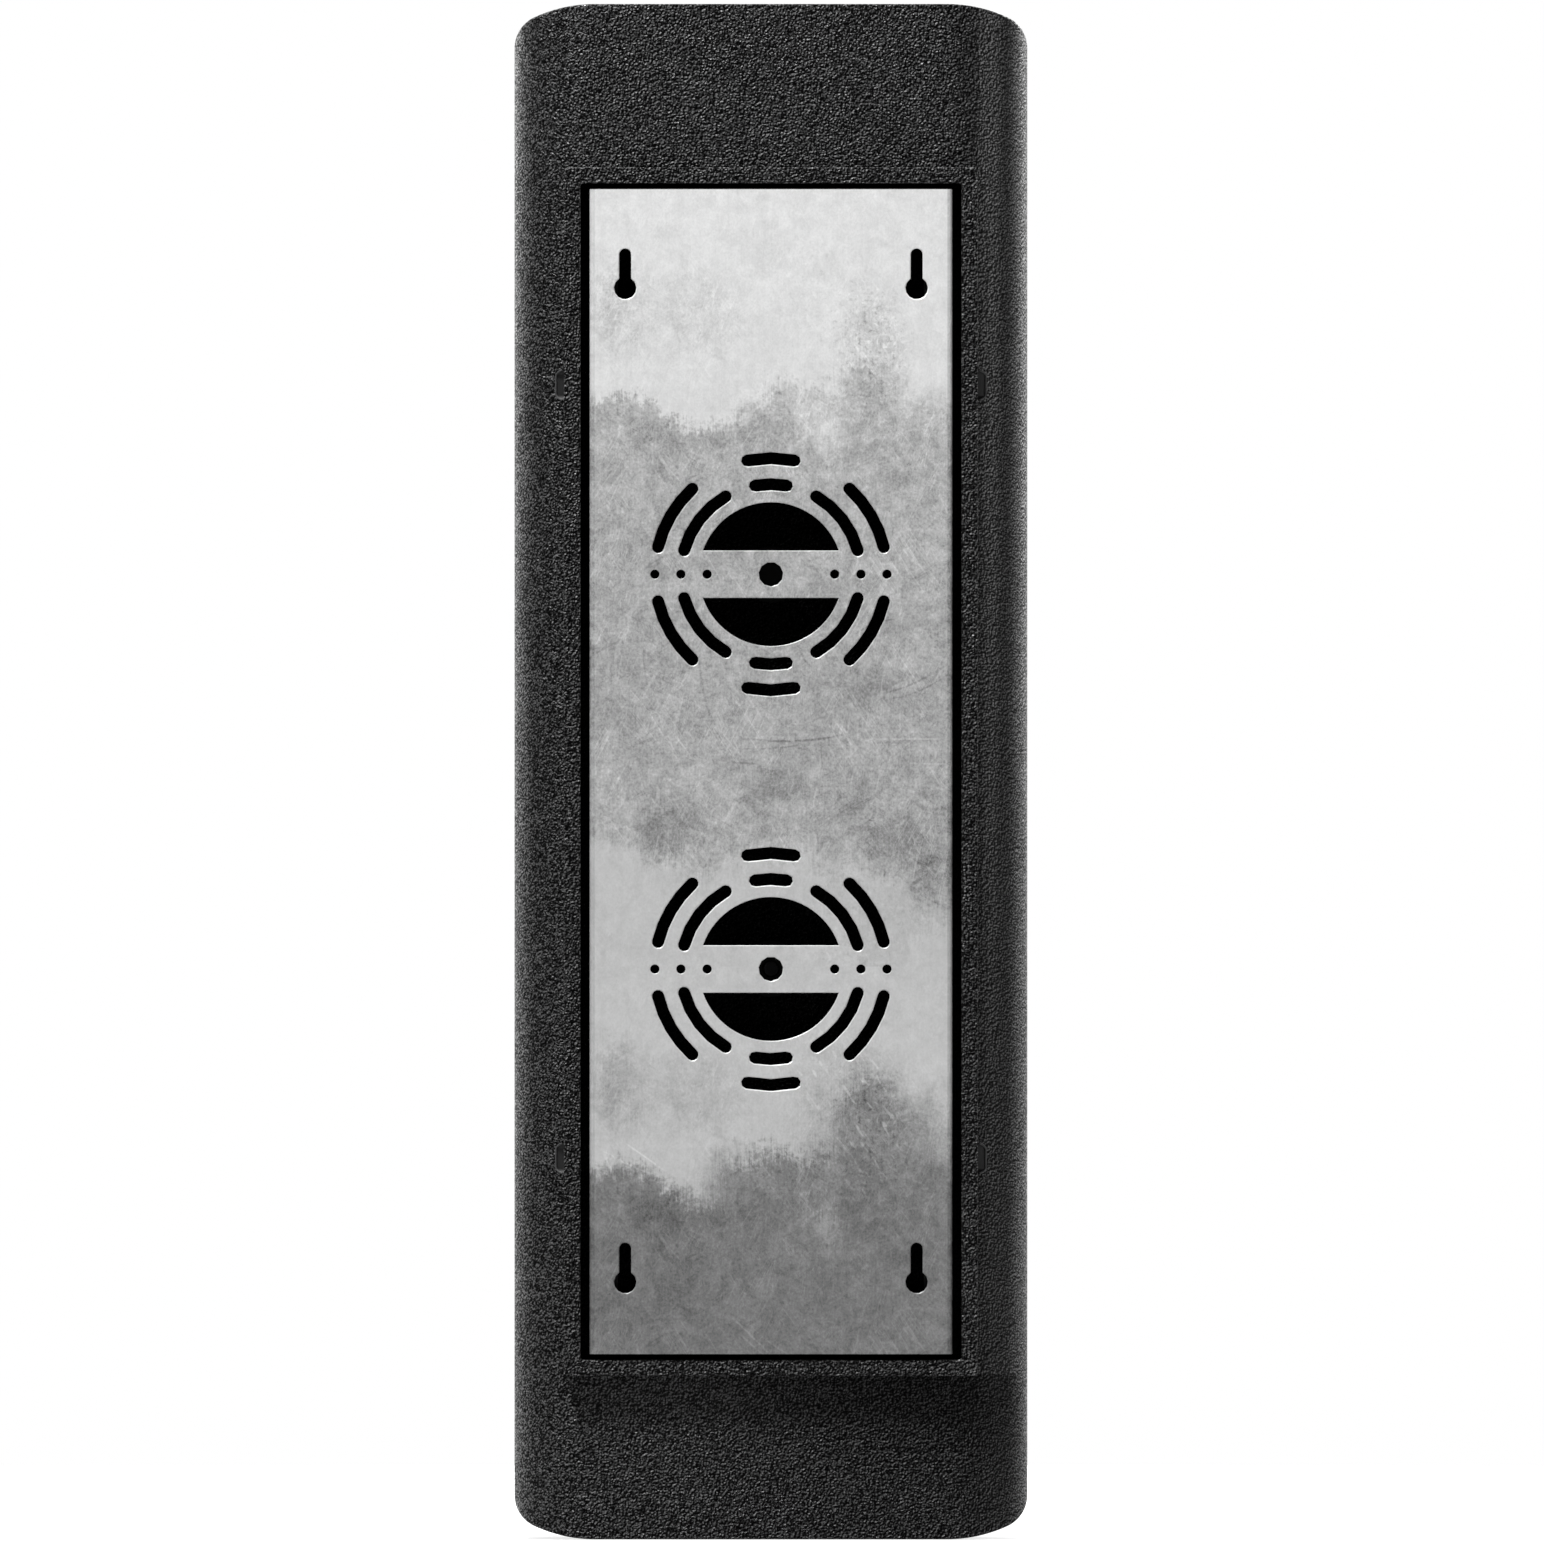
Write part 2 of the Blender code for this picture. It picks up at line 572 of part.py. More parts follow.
STANDING = [
    circle(0, 57, 12.0, 12, 0.3),
    [(-25, 33), (-20, 39), (20, 39), (25, 33), (17, 24), (15, -12), (-15, -12), (-17, 24)],
    capsule(-26, 32, -27, -8, 5.6, 4.8), capsule(26, 32, 27, -8, 5.6, 4.8),
    capsule(-8.6, -8, -8.0, -70, 7.6, 6.0), capsule(8.6, -8, 8.0, -70, 7.6, 6.0),
]
WALKING = [
    circle(5, 58, 12.0, 12, 0.3),
    capsule(3, 31, -2, -4, 12.0, 9.5),
    capsule(3, 33, -20, 10, 5.6, 5.0), capsule(-20, 10, -29, -12, 5.0, 4.4),
    capsule(6, 33, 24, 12, 5.6, 5.0), capsule(24, 12, 40, 4, 5.0, 4.4),
    capsule(-1, -6, 17, -36, 9.0, 7.0), capsule(17, -36, 30, -68, 7.0, 5.4),
    capsule(-3, -6, -12, -38, 9.0, 7.0), capsule(-12, -38, -34, -66, 7.0, 5.4),
]
DIGIT_X = 37.0                          # digit centres left and right
DIGIT_HALF_W, DIGIT_ROW = 25.0, 48.0    # bar centre lines
BAR_HALF, BAR_GAP = 5.6, 1.6


def bar(start, end):
    """Pointed bar along the first coordinate, centred on the second."""
    start += BAR_GAP
    end -= BAR_GAP
    return [
        (start, 0), (start + BAR_HALF, -BAR_HALF), (end - BAR_HALF, -BAR_HALF),
        (end, 0), (end - BAR_HALF, BAR_HALF), (start + BAR_HALF, BAR_HALF),
    ]


def seven_segment(centre_x):
    """Seven bars of one digit."""
    bars = []
    for row in (DIGIT_ROW, 0.0, -DIGIT_ROW):
        bars.append([(centre_x + u, row + v) for u, v in bar(-DIGIT_HALF_W, DIGIT_HALF_W)])
    for low in (0.0, -DIGIT_ROW):
        for x in (-DIGIT_HALF_W, DIGIT_HALF_W):
            # turned upright with the points in the opposite sense to the level bars
            bars.append([(centre_x + x - v, u) for u, v in bar(low, low + DIGIT_ROW)])
            bars[-1] = bars[-1][:1] + bars[-1][:0:-1]
    return bars


DIGITS = seven_segment(-DIGIT_X) + seven_segment(DIGIT_X)

# ---------------------------------------------------------------- doors with their modules
DOOR_HALF_W, DOOR_GAP = HALF_W - SHOULDER, 2.0
RIM_HALF_H = HALF_H - SHOULDER
DOOR_BACK, DOOR_FRONT, DOOR_EDGE_R, DOOR_CORNER_R = -118.5, -142.0, 5.0, 6.0
DOOR_CAVITY = (115.0, 49.0)             # half side, corner radius
DOOR_OPENING_R = 100.0
DOOR_KNUCKLE_HALF = 10.0
SEAL_HALF, SEAL_CORNER_R = 120.0, 54.0  # centre line of the door seal
SEAL_HALF_W, GROOVE_HALF_W = 1.9, 2.3
SPIGOT_PROFILE = [      # (radius, y)
    (97.0, -140.0), (112.4, -140.0), (112.4, -147.2), (111.2, -148.4), (97.0, -148.4),
]
STUD_BORE = [           # (radius, y)
    (0, -115.0), (STUD_HOLE_R, -115.0), (STUD_HOLE_R, -137.0), (7.0, -137.0), (7.0, -146.0), (0, -146.0),
]
VISOR_IN_R, VISOR_OUT_R, FLANGE_R = 113.0, 115.8, 124.0
VISOR_BACK, FLANGE_FRONT = -142.3, -145.2
VISOR_SHORT, VISOR_EXTRA, VISOR_POWER = 14.0, 146.0, 1.15   # reach below, added at top, falloff
VISOR_SLOPE = 0.06                      # fall per length towards the front
LENS_R, LENS_RISE, LENS_EDGE_Y = 98.4, 13.0, -138.6
DISC_R = 94.5                           # symbol mask and diffuser
LED_RINGS = ((0.0, 1), (52.0, 6))       # radius, count
STUD_AXIS_Y = -137.2
STUD_PROFILE = [        # (radius, y)
    (0, -141.2), (4.8, -141.2), (6.2, -140.0), (6.2, -137.25), (2.5, -137.25), (2.5, -109.2), (0, -109.2),
]
PIN_PROFILE = [         # (radius, z from the field centre)
    (0, -103.5), (PIN_R, -103.5), (PIN_R, 100.9), (3.4, 100.9), (3.4, 103.0), (0, 103.0),
]


def lens_profile():
    """Flange and domed window, as (radius, y)."""
    sphere = (LENS_R ** 2 + LENS_RISE ** 2) / (2 * LENS_RISE)
    outer = []
    for radius in (LENS_R, 52.0, 0.0):
        rise = math.sqrt(sphere ** 2 - radius ** 2) - (sphere - LENS_RISE)
        outer.append((radius, LENS_EDGE_Y - rise))
    inner = [(radius * 0.975, y + 2.4) for radius, y in reversed(outer)]
    return [(106.0, -134.9), (106.0, -137.0), (LENS_R, -137.0)] + outer + inner + [(95.9, -134.9)]


TURNED_PARTS = (        # name, material, facets, y of the origin, (radius, y) profile
    ("lens", CLEAR, ROUND, -137.0, lens_profile()),
    ("lens_gasket", RUBBER, SMALL, -137.3, [
        (100.8, -137.3), (105.6, -137.3), (105.6, -138.7), (100.8, -138.7)]),
    ("module_can", GREY, SMALL, -134.6, [
        (108.0, -134.6), (108.0, -131.4), (100.6, -131.4), (98.6, -86.0), (88.0, -75.0),
        (7.0, -75.0), (7.0, -77.6), (86.9, -77.6), (96.0, -87.0), (97.8, -134.6)]),
    ("retaining_ring", BLACK, SMALL, -131.1, [
        (101.8, -127.4), (111.8, -127.4), (111.8, -138.6), (108.6, -138.6),
        (108.6, -131.1), (101.8, -131.1)]),
)


def door_outline(z0, z1, inset, crown):
    """Crown corners at the top (1) or bottom (-1) of the tall outline, plain round ones elsewhere."""
    radius = DOOR_CORNER_R - inset
    plain = arc(DOOR_HALF_W - inset - radius, -radius, radius, 90, 0, 2)
    top = [(x, z1 - inset + dz) for x, dz in plain]
    bottom = [(x, z0 + inset - dz) for x, dz in plain]
    if crown == 1:
        top = crown_quarter(SHOULDER + inset)
    elif crown == -1:
        bottom = [(x, -z) for x, z in crown_quarter(SHOULDER + inset)]
    return mirrored(top + bottom[::-1])


def seal_frame(zc, half_width):
    """Outer and inner outline of a square frame along the seal's centre line."""
    return [field_square(zc, SEAL_HALF + w, SEAL_CORNER_R + w) for w in (half_width, -half_width)]


def make_door(name, zc, crown):
    reach = (FIELD_PITCH - DOOR_GAP) / 2
    z0 = -RIM_HALF_H if crown == -1 else zc - reach
    z1 = RIM_HALF_H if crown == 1 else zc + reach
    edge = arc(DOOR_FRONT + DOOR_EDGE_R, DOOR_EDGE_R, DOOR_EDGE_R, 270, 180, 2)
    stations = [(DOOR_BACK, 0.0)] + edge
    rings = [at_depth(door_outline(z0, z1, inset, crown), y) for y, inset in stations]
    door = finish(f"{name}_door", loft(rings), GRAIN, (HINGE_X, HINGE_Y, zc))
    # spigot inside the visor
    add(door, lathe(SPIGOT_PROFILE, ROUND, (0, 0, zc)))
    cut(door, prism([field_square(zc, *DOOR_CAVITY)], DOOR_BACK + 3, -139.0))
    cut(door, prism([circle(0, zc, DOOR_OPENING_R, ROUND)], -130.0, -152.0))
    cut(door, prism(seal_frame(zc, GROOVE_HALF_W), DOOR_BACK + 3, -122.6))
    for dz in (STUD, -STUD):
        cut(door, lathe(STUD_BORE, 12, (STUD, 0, zc + dz)))
    for z in (zc + HINGE_DZ, zc - HINGE_DZ):
        add(door, knuckle(-1, z - DOOR_KNUCKLE_HALF, z + DOOR_KNUCKLE_HALF))
    return door


def door_seal(name, zc):
    seal = prism(seal_frame(zc, SEAL_HALF_W), -118.3, -122.3)
    return finish(f"{name}_door_seal", seal, RUBBER, (0, -118.3, zc))


def visor(name, zc):
    """Flange against the door, hood long at the top and short below."""
    shape = bmesh.new()
    columns = []
    for k in range(ROUND):
        angle = 2 * math.pi * k / ROUND
        height = 0.5 + 0.5 * math.cos(angle)
        tip = VISOR_BACK - (VISOR_SHORT + VISOR_EXTRA * height ** VISOR_POWER)
        column = []
        for radius, y in (
            (VISOR_IN_R, VISOR_BACK), (FLANGE_R, VISOR_BACK), (FLANGE_R, FLANGE_FRONT),
            (VISOR_OUT_R, FLANGE_FRONT), (VISOR_OUT_R, tip), (VISOR_IN_R, tip),
        ):
            drop = max(0.0, FLANGE_FRONT - y) * VISOR_SLOPE
            z = zc + radius * math.cos(angle) - drop
            column.append(shape.verts.new((radius * math.sin(angle), y, z)))
        columns.append(column)
    for near, far in zip(columns, columns[1:] + columns[:1]):
        bridge(shape, near, far)
    return finish(f"{name}_visor", shape, BLACK, (0, VISOR_BACK, zc))


def symbol_mask(name, zc, symbol):
    """Disc with the symbol open: digits are holes of the outline, overlapping parts are cut."""
    loops = [circle(0, zc, DISC_R, SMALL, 0.37)]
    parts = [[(x, zc + z) for x, z in part] for part in symbol]
    if symbol is DIGITS:
        loops += parts
        parts = []
    mask = finish(f"{name}_symbol_mask", prism(loops, -132.2, -133.4), BLACK, (0, -132.2, zc))
    for part in parts:
        cut(mask, prism([part], -130.0, -136.0))
    return mask


def diffuser(name, zc, colour):
    disc = prism([circle(0, zc, DISC_R, SMALL)], -129.4, -131.8)
    return finish(f"{name}_diffuser", disc, colour, (0, -129.4, zc))


def led_board(name, zc):
    disc = prism([circle(0, zc, 94.0, SMALL, 0.31)], -112.0, -113.6)
    board = finish(f"{name}_led_board", disc, BOARD, (0, -112.0, zc))
    for ring, count in LED_RINGS:
        for k in range(count):
            angle = 2 * math.pi * k / count
            x, z = ring * math.sin(angle), zc + ring * math.cos(angle)
            add(board, box(x, z, 4.0, 4.0, -113.0, -117.0))
    return board


def stud(name, tag, z, hinge):
    """Quarter-turn stud with a driver slot, on its own turning axis."""
    pivot = (STUD, STUD_AXIS_Y, z)
    axis = empty(f"{name}_stud_axis_{tag}", pivot)
    piece = finish(f"{name}_stud_{tag}", lathe(STUD_PROFILE, 8, (STUD, 0, z)), STEEL, pivot)
    cut(piece, box(STUD, z, 0.9, 5.2, -139.8, -143.0))
    hang(piece, axis)
    hang(axis, hinge)


FIELDS = (              # name, centre z, crown end of the door, symbol, diffuser material
    ("red", FIELD_PITCH, 1, STANDING, RED),
    ("count", 0.0, 0, DIGITS, AMBER),
    ("green", -FIELD_PITCH, -1, WALKING, GREEN),
)

for name, zc, crown, symbol, colour in FIELDS:
    pivot = (HINGE_X, HINGE_Y, zc)
    hinge = empty(f"{name}_door_hinge", pivot)
    pieces = [
        make_door(name, zc, crown), door_seal(name, zc), visor(name, zc),
        symbol_mask(name, zc, symbol), diffuser(name, zc, colour), led_board(name, zc),
    ]
    for part, mat, segs, y, profile in TURNED_PARTS:
        turned = lathe(profile, segs, (0, 0, zc))
        pieces.append(finish(f"{name}_{part}", turned, mat, (0, y, zc)))
    for piece in pieces:
        hang(piece, hinge)
    stud(name, "upper", zc + STUD, hinge)
    stud(name, "lower", zc - STUD, hinge)
    finish(f"{name}_hinge_pin", lathe(PIN_PROFILE, 8, pivot, axis="Z"), STEEL, pivot)
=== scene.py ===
"""A pedestrian signal head with a red, a countdown and a green field, one above another.

It stands upright with z up and x across. The galvanised mounting plate is on its back,
which faces +y; the doors, lenses and visors face -y. Lengths are in millimetres, except
in materials, lights and the camera, which are in metres unless a comment says otherwise.
"""
import math
from functools import reduce
from operator import add

import bmesh
import bpy
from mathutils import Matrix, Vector
from mathutils.geometry import tessellate_polygon


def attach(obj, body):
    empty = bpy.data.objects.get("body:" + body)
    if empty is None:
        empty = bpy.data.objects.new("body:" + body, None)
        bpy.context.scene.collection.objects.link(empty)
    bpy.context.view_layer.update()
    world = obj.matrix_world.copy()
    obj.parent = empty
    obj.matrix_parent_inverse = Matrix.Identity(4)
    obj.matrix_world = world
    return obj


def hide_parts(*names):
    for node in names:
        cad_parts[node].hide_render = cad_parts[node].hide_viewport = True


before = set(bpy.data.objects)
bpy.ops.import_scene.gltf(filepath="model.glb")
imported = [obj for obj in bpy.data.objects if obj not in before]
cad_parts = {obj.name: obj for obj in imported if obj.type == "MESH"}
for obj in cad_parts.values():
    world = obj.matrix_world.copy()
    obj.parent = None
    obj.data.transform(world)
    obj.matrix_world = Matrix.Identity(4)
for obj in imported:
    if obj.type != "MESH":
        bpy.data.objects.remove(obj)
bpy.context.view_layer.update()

MM = 0.001

# Housing: the outline seen from the front, then its depth
HALF_W, HALF_H = 141.0, 421.5
CROWN_R, CROWN_DEG, EDGE_R = 82.5, 24.0, 18.2
BACK_Y, FRONT_Y, BACK_R, WALL = -9.0, -118.0, 44.9, 3.2
SHOULDER_Y, SHOULDER = -98.0, 10.0
# x where both the crown arc and the rounded back corner begin
ARC_X = HALF_W - EDGE_R - (CROWN_R - EDGE_R) * math.sin(math.radians(CROWN_DEG))

# Raised pad on the back and the recess in it (half-sizes), and the plate in the recess
PAD_W, PAD_H, PAD_Y = 113.6, 331.7, -1.0
RECESS_W, RECESS_H, RECESS_Y = 104.5, 322.9, -30.6
PLATE_W, PLATE_H, PLATE_T, PLATE_D = 99.5, 319.7, 2.0, 30.0
PLATE_SCREWS = [(sx * 91.0, sz * 290.0) for sz in (1, -1) for sx in (-1, 1)]
KEY_X, KEY_Z, KEY_R, KEY_SLOT, KEY_RUN = 80.0, (265.4, -280.2), 6.15, 3.3, 18.4
RING_Z = 108.35
ARC_HALF = 3.35

# Strap slots in the sides of the pad, seen along x
BAND_Z, BAND_HALF = 212.3, 9.0
BAND_MID_Y, BAND_HALF_Y, BAND_CORNER = -9.95, 4.45, 4.1

DRAIN_Y = -70.0

# Doors, hinges and quarter-turn studs
PITCH = 274.8
FIELDS = (("red", PITCH), ("count", 0.0), ("green", -PITCH))
DOOR_HALF_W, DOOR_BACK, DOOR_FRONT = 131.0, -118.5, -142.0
DOOR_GAP = 2.0
RIM_HALF_H = HALF_H - SHOULDER
HINGE_X, HINGE_Y, HINGE_DZ, BARREL_R, PIN_R = -136.0, -118.2, 80.0, 4.5, 2.0
STUD = 113.0  # from the middle of a door, across and up or down
SEGS = 96
VISOR_SEGS = 144


# ---------------------------------------------------------------- shader helpers
class Field:
    """A node output that can be used in sums: each operator adds one Math node."""

    def __init__(self, graph, socket):
        self.graph = graph
        self.socket = socket

    def __add__(self, other):
        return self.graph.math("ADD", self, other)

    def __radd__(self, other):
        return self.graph.math("ADD", other, self)

    def __sub__(self, other):
        return self.graph.math("SUBTRACT", self, other)

    def __rsub__(self, other):
        return self.graph.math("SUBTRACT", other, self)

    def __mul__(self, other):
        return self.graph.math("MULTIPLY", self, other)

    def __truediv__(self, other):
        return self.graph.math("DIVIDE", self, other)

    def __abs__(self):
        return self.graph.math("ABSOLUTE", self)


class Graph:
    """A node tree with short ways to add nodes to it."""

    def __init__(self, tree):
        self.tree = tree

    def node(self, kind, **props):
        node = self.tree.nodes.new(kind)
        for key, value in props.items():
            setattr(node, key, value)
        return node

    def out(self, node, output=0):
        return Field(self, node.outputs[output])

    def put(self, value, socket):
        if isinstance(value, Field):
            self.tree.links.new(value.socket, socket)
        elif isinstance(value, tuple) and socket.type == "RGBA":
            socket.default_value = (*value, 1.0)
        else:
            socket.default_value = value

    def math(self, operation, a, b=0.0, clamp=False):
        node = self.node("ShaderNodeMath", operation=operation, use_clamp=clamp)
        self.put(a, node.inputs[0])
        self.put(b, node.inputs[1])
        return self.out(node)

    def vec(self, operation, a, b):
        """Vector maths; for SCALE, b is the factor."""
        node = self.node("ShaderNodeVectorMath", operation=operation)
        self.put(a, node.inputs[0])
        self.put(b, node.inputs["Scale" if operation == "SCALE" else 1])
        return self.out(node)

    def wander(self, noise, reach):
        """A colour noise as an offset to either side."""
        return self.vec("SCALE", self.vec("SUBTRACT", noise, (0.5, 0.5, 0.5)), reach)

    def mapped(self, at, scale=(1, 1, 1), turn=0.0, loc=(0, 0, 0)):
        """A place scaled, moved and turned about y by degrees."""
        node = self.node("ShaderNodeMapping")
        self.put(at, node.inputs["Vector"])
        node.inputs["Scale"].default_value = scale
        node.inputs["Rotation"].default_value = (0, math.radians(turn), 0)
        node.inputs["Location"].default_value = loc
        return self.out(node)

    def noise(self, scale, detail=2.0, rough=0.5, at=None, colour=False):
        node = self.node("ShaderNodeTexNoise")
        self.put(at or self.coord, node.inputs["Vector"])
        node.inputs["Scale"].default_value = scale
        node.inputs["Detail"].default_value = detail
        node.inputs["Roughness"].default_value = rough
        return self.out(node, "Color" if colour else "Fac")

    def voronoi(self, scale, at=None):
        node = self.node("ShaderNodeTexVoronoi")
        self.put(at or self.coord, node.inputs["Vector"])
        node.inputs["Scale"].default_value = scale
        return self.out(node, "Distance")

    def ramp(self, value, stops):
        """A curve through (position, grey) stops."""
        node = self.node("ShaderNodeValToRGB")
        elements = node.color_ramp.elements
        while len(elements) < len(stops):
            elements.new(1.0)
        for element, (position, grey) in zip(elements, stops):
            element.position = position
            element.color = (grey, grey, grey, 1.0)
        self.put(value, node.inputs[0])
        return self.out(node)

    def span(self, value, start, end, low=0.0, high=1.0, smooth=False):
        """Map start..end to low..high."""
        kind = "SMOOTHSTEP" if smooth else "LINEAR"
        node = self.node("ShaderNodeMapRange", interpolation_type=kind)
        self.put(value, node.inputs["Value"])
        limits = ("From Min", "From Max", "To Min", "To Max")
        for key, limit in zip(limits, (start, end, low, high)):
            self.put(limit, node.inputs[key])
        return self.out(node)

    def mix(self, amount, a, b):
        node = self.node("ShaderNodeMix", data_type="RGBA", blend_type="MIX")
        self.put(amount, node.inputs[0])
        self.put(a, node.inputs[6])
        self.put(b, node.inputs[7])
        return self.out(node, 2)

    def xyz(self, at=None):
        node = self.node("ShaderNodeSeparateXYZ")
        self.put(at or self.coord, node.inputs[0])
        return [self.out(node, i) for i in range(3)]

    def use(self, tree, *values):
        node = self.node("ShaderNodeGroup")
        node.node_tree = tree
        for socket, value in zip(node.inputs, values):
            self.put(value, socket)
        return self.out(node)


def node_group(name, labels, build):
    """A reusable node group with float inputs and one float output."""
    graph = Graph(bpy.data.node_groups.new(name, "ShaderNodeTree"))
    new_socket = graph.tree.interface.new_socket
    for label in labels:
        new_socket(name=label, in_out="INPUT", socket_type="NodeSocketFloat")
    new_socket(name="Out", in_out="OUTPUT", socket_type="NodeSocketFloat")
    entry = graph.node("NodeGroupInput")
    result = build(graph, *[graph.out(entry, label) for label in labels])
    graph.put(result, graph.node("NodeGroupOutput").inputs[0])
    return graph.tree


class Material(Graph):
    """A Principled material."""

    INPUTS = {
        "colour": "Base Color", "rough": "Roughness", "metal": "Metallic", "ior": "IOR",
        "spec": "Specular IOR Level", "trans": "Transmission Weight",
        "coat": "Coat Weight", "coat_rough": "Coat Roughness",
        "emit": "Emission Color", "emit_strength": "Emission Strength",
    }

    def __init__(self, name, **base):
        self.data = bpy.data.materials.new(name)
        self.data.use_nodes = True
        super().__init__(self.data.node_tree)
        self.shader = self.tree.nodes["Principled BSDF"]
        self.set(**base)
        self.coord = self.out(self.node("ShaderNodeTexCoord"), "Object")

    def set(self, **values):
        for key, value in values.items():
            self.put(value, self.shader.inputs[self.INPUTS[key]])

    def bump(self, height, strength, distance):
        node = self.node("ShaderNodeBump")
        self.put(height, node.inputs["Height"])
        node.inputs["Strength"].default_value = strength
        node.inputs["Distance"].default_value = distance
        self.put(self.out(node), self.shader.inputs["Normal"])


def scaled(colour, factor):
    return tuple(part * factor for part in colour)


# ---------------------------------------------------------------- materials
def grain_material(name, cell, depth, tone, rough):
    """Moulded black plastic with a pebbled leather grain."""
    mat = Material(name, rough=rough, spec=0.4, coat=0.5, coat_rough=0.28)
    wobble = mat.wander(mat.noise(0.6 / cell, 1.0, colour=True), cell * 0.7)
    place_in_grain = mat.vec("ADD", mat.coord, wobble)

    def pebbles(at):
        return mat.voronoi(1.0 / cell, at) * -0.6 + mat.noise(1.2 / cell, 2.0, 0.6, at)

    height = pebbles(place_in_grain)
    mat.bump(height, 1.0, depth)

    # painted light and shade: each pebble is painted paler on its upper flank and darker under it
    # and in its hollows, as if lit from above, with the painted glints stronger towards +x
    step = (0.17 * cell, 0.13 * cell, 0.21 * cell)
    before = pebbles(mat.vec("SUBTRACT", place_in_grain, step))
    painted_flank_light = before - pebbles(mat.vec("ADD", place_in_grain, step))
    x, y, z = mat.xyz()
    rise = mat.span(painted_flank_light * mat.span(x, -0.10, 0.06, 1.0, 1.12), -0.20, 0.31)
    rise = rise * rise * mat.span(x, -0.10, 0.06, 3.38, 3.24)
    painted_relief_shade = (rise + 0.12) * mat.span(height, 0.0, 0.34, 0.55, 1.15)
    cloud = mat.noise(6.0, 3.0, 0.55)

    # painted shade: the inside of the back recess is darkened to nearly black
    painted_recess_shade = mat.span(y, -0.0235, -0.0265) * mat.span(y, -0.046, -0.042) * (
        mat.span(abs(x), 0.1052, 0.1050) * mat.span(abs(z), 0.3236, 0.3234))
    # painted light, not dust: paler towards the top and towards +x, and paler on the rounded sides
    # beside the pad, as the light falls
    dust = mat.span(z, -0.42, 0.42, 0.84, 1.06) * mat.span(x, -0.14, 0.14, 0.95, 1.05)
    dust = dust * mat.span(abs(x), 0.112, 0.126, 1.0, 1.08)
    # painted shadow cast by the pad on the back below it, heavier towards -x
    painted_pad_shadow = mat.span(z, -0.415, -0.338, 0.20, 0.46, smooth=True) * (
        mat.span(x, 0.062, -0.085, smooth=True) * (
            mat.span(z, -0.330, -0.332) * (
                mat.span(y, -0.004, -0.006) * mat.span(y, -0.040, -0.030))))
    dust = dust * (1.0 - painted_pad_shadow)
    shade = painted_relief_shade * dust * (1.0 - painted_recess_shade * 0.93)
    mat.set(
        colour=mat.vec("SCALE", mat.mix(cloud, scaled(tone, 0.85), scaled(tone, 1.15)), shade),
        spec=shade * 0.21,
        coat=shade * 0.44,
        rough=mat.span(mat.noise(38.0, 2.0), 0.3, 0.7, rough - 0.04, rough + 0.05),
    )
    return mat.data


# The coating of the plate is laid out in mm across (towards -x) and down (towards -z)
# from a datum beyond the top +x corner. Its nodes count in steps of STEP mm.
STEP = 0.55
DATUM_X, DATUM_Z = 423.775, 424.325
COAT_START, COAT_END = 323.95, 523.6      # across, at the plate's two sides
COAT_TOP, COAT_BOTTOM = 103.95, 744.7     # down, where the tones begin and end
REPEAT_BELOW, REPEAT = 531.3, 427.35      # the pattern repeats once, this far down
EDGE_BASE, EDGE_RANGE = 209.0, 33.0

# lower edge of the bright area: across, down
BRIGHT_EDGE = [
    (323.95, 221.1), (331.65, 220), (336.6, 217.8), (357.5, 222.2), (365.2, 229.9),
    (379.5, 235.4), (393.25, 232.1), (408.1, 228.8), (415.8, 223.3), (426.25, 221.1),
    (432.85, 225.5), (438.35, 234.3), (449.9, 239.8), (463.1, 236.5), (473, 231),
    (492.25, 228.8), (508.75, 224.4), (523.6, 222.2),
]
# position across the plate 0..1, softness of the lower edge
EDGE_SOFTNESS = [
    (0.0, 0.26), (0.30, 0.30), (0.44, 0.8), (0.56, 0.5), (0.66, 1.0), (0.9, 1.0), (1.0, 0.8),
]
# position across the plate 0..1, height of the soft edge where the next bright area begins
NEXT_EDGE = [
    (0.0, 0.28), (0.12, 0.40), (0.30, 0.62), (0.45, 0.50), (0.62, 0.55), (0.80, 0.60),
    (0.92, 0.78), (1.0, 0.82),
]
# position down the plate 0..1, brightness; its fall towards the bottom is painted shade, for the
# light falling off downwards
BRIGHT_TONES = [
    (0.0, 0.745), (0.10, 0.735), (0.19, 0.705), (0.60, 0.52), (0.76, 0.55), (0.84, 0.53),
    (1.0, 0.44),
]
DULL_TONES = [
    (0.0, 0.53), (0.12, 0.505), (0.21, 0.43), (0.42, 0.385), (0.52, 0.395), (0.60, 0.37),
    (0.80, 0.25), (0.88, 0.188), (0.96, 0.171), (1.0, 0.174),
]

# Patches: across, down, half-width, half-height, amount[, raggedness 1.0[, hard core 0.45]]
VEIL_UPPER = [
    (383.35, 172.7, 33, 27.5, 0.30, 0.7, 0.2), (479.6, 193.6, 19.8, 36.3, 0.60, 0.8, 0.2),
    (477.4, 221.1, 25.3, 19.8, 0.6, 0.9), (345.4, 177.1, 16.5, 33, 0.12),
    (423.5, 140.25, 11, 18.7, 0.06), (441.65, 224.4, 23.1, 14.3, 0.45),
]
VEIL_LOWER = [
    (486.75, 632.5, 55, 40.7, 0.95, 0.9, 0.15), (440, 651.2, 44, 19.8, 0.85, 0.9, 0.2),
    (467.5, 596.75, 33, 27.5, 0.35, 1.0, 0.1), (404.25, 644.6, 24.2, 16.5, 0.5, 1.0, 0.1),
]
VEIL_CORNER = [(338.8, 166.1, 18.7, 25.3, 0.5, 1.0, 0.1)]
VEIL_SIDE = [(508.75, 484, 18.7, 33, 0.45, 0.9, 0.1)]
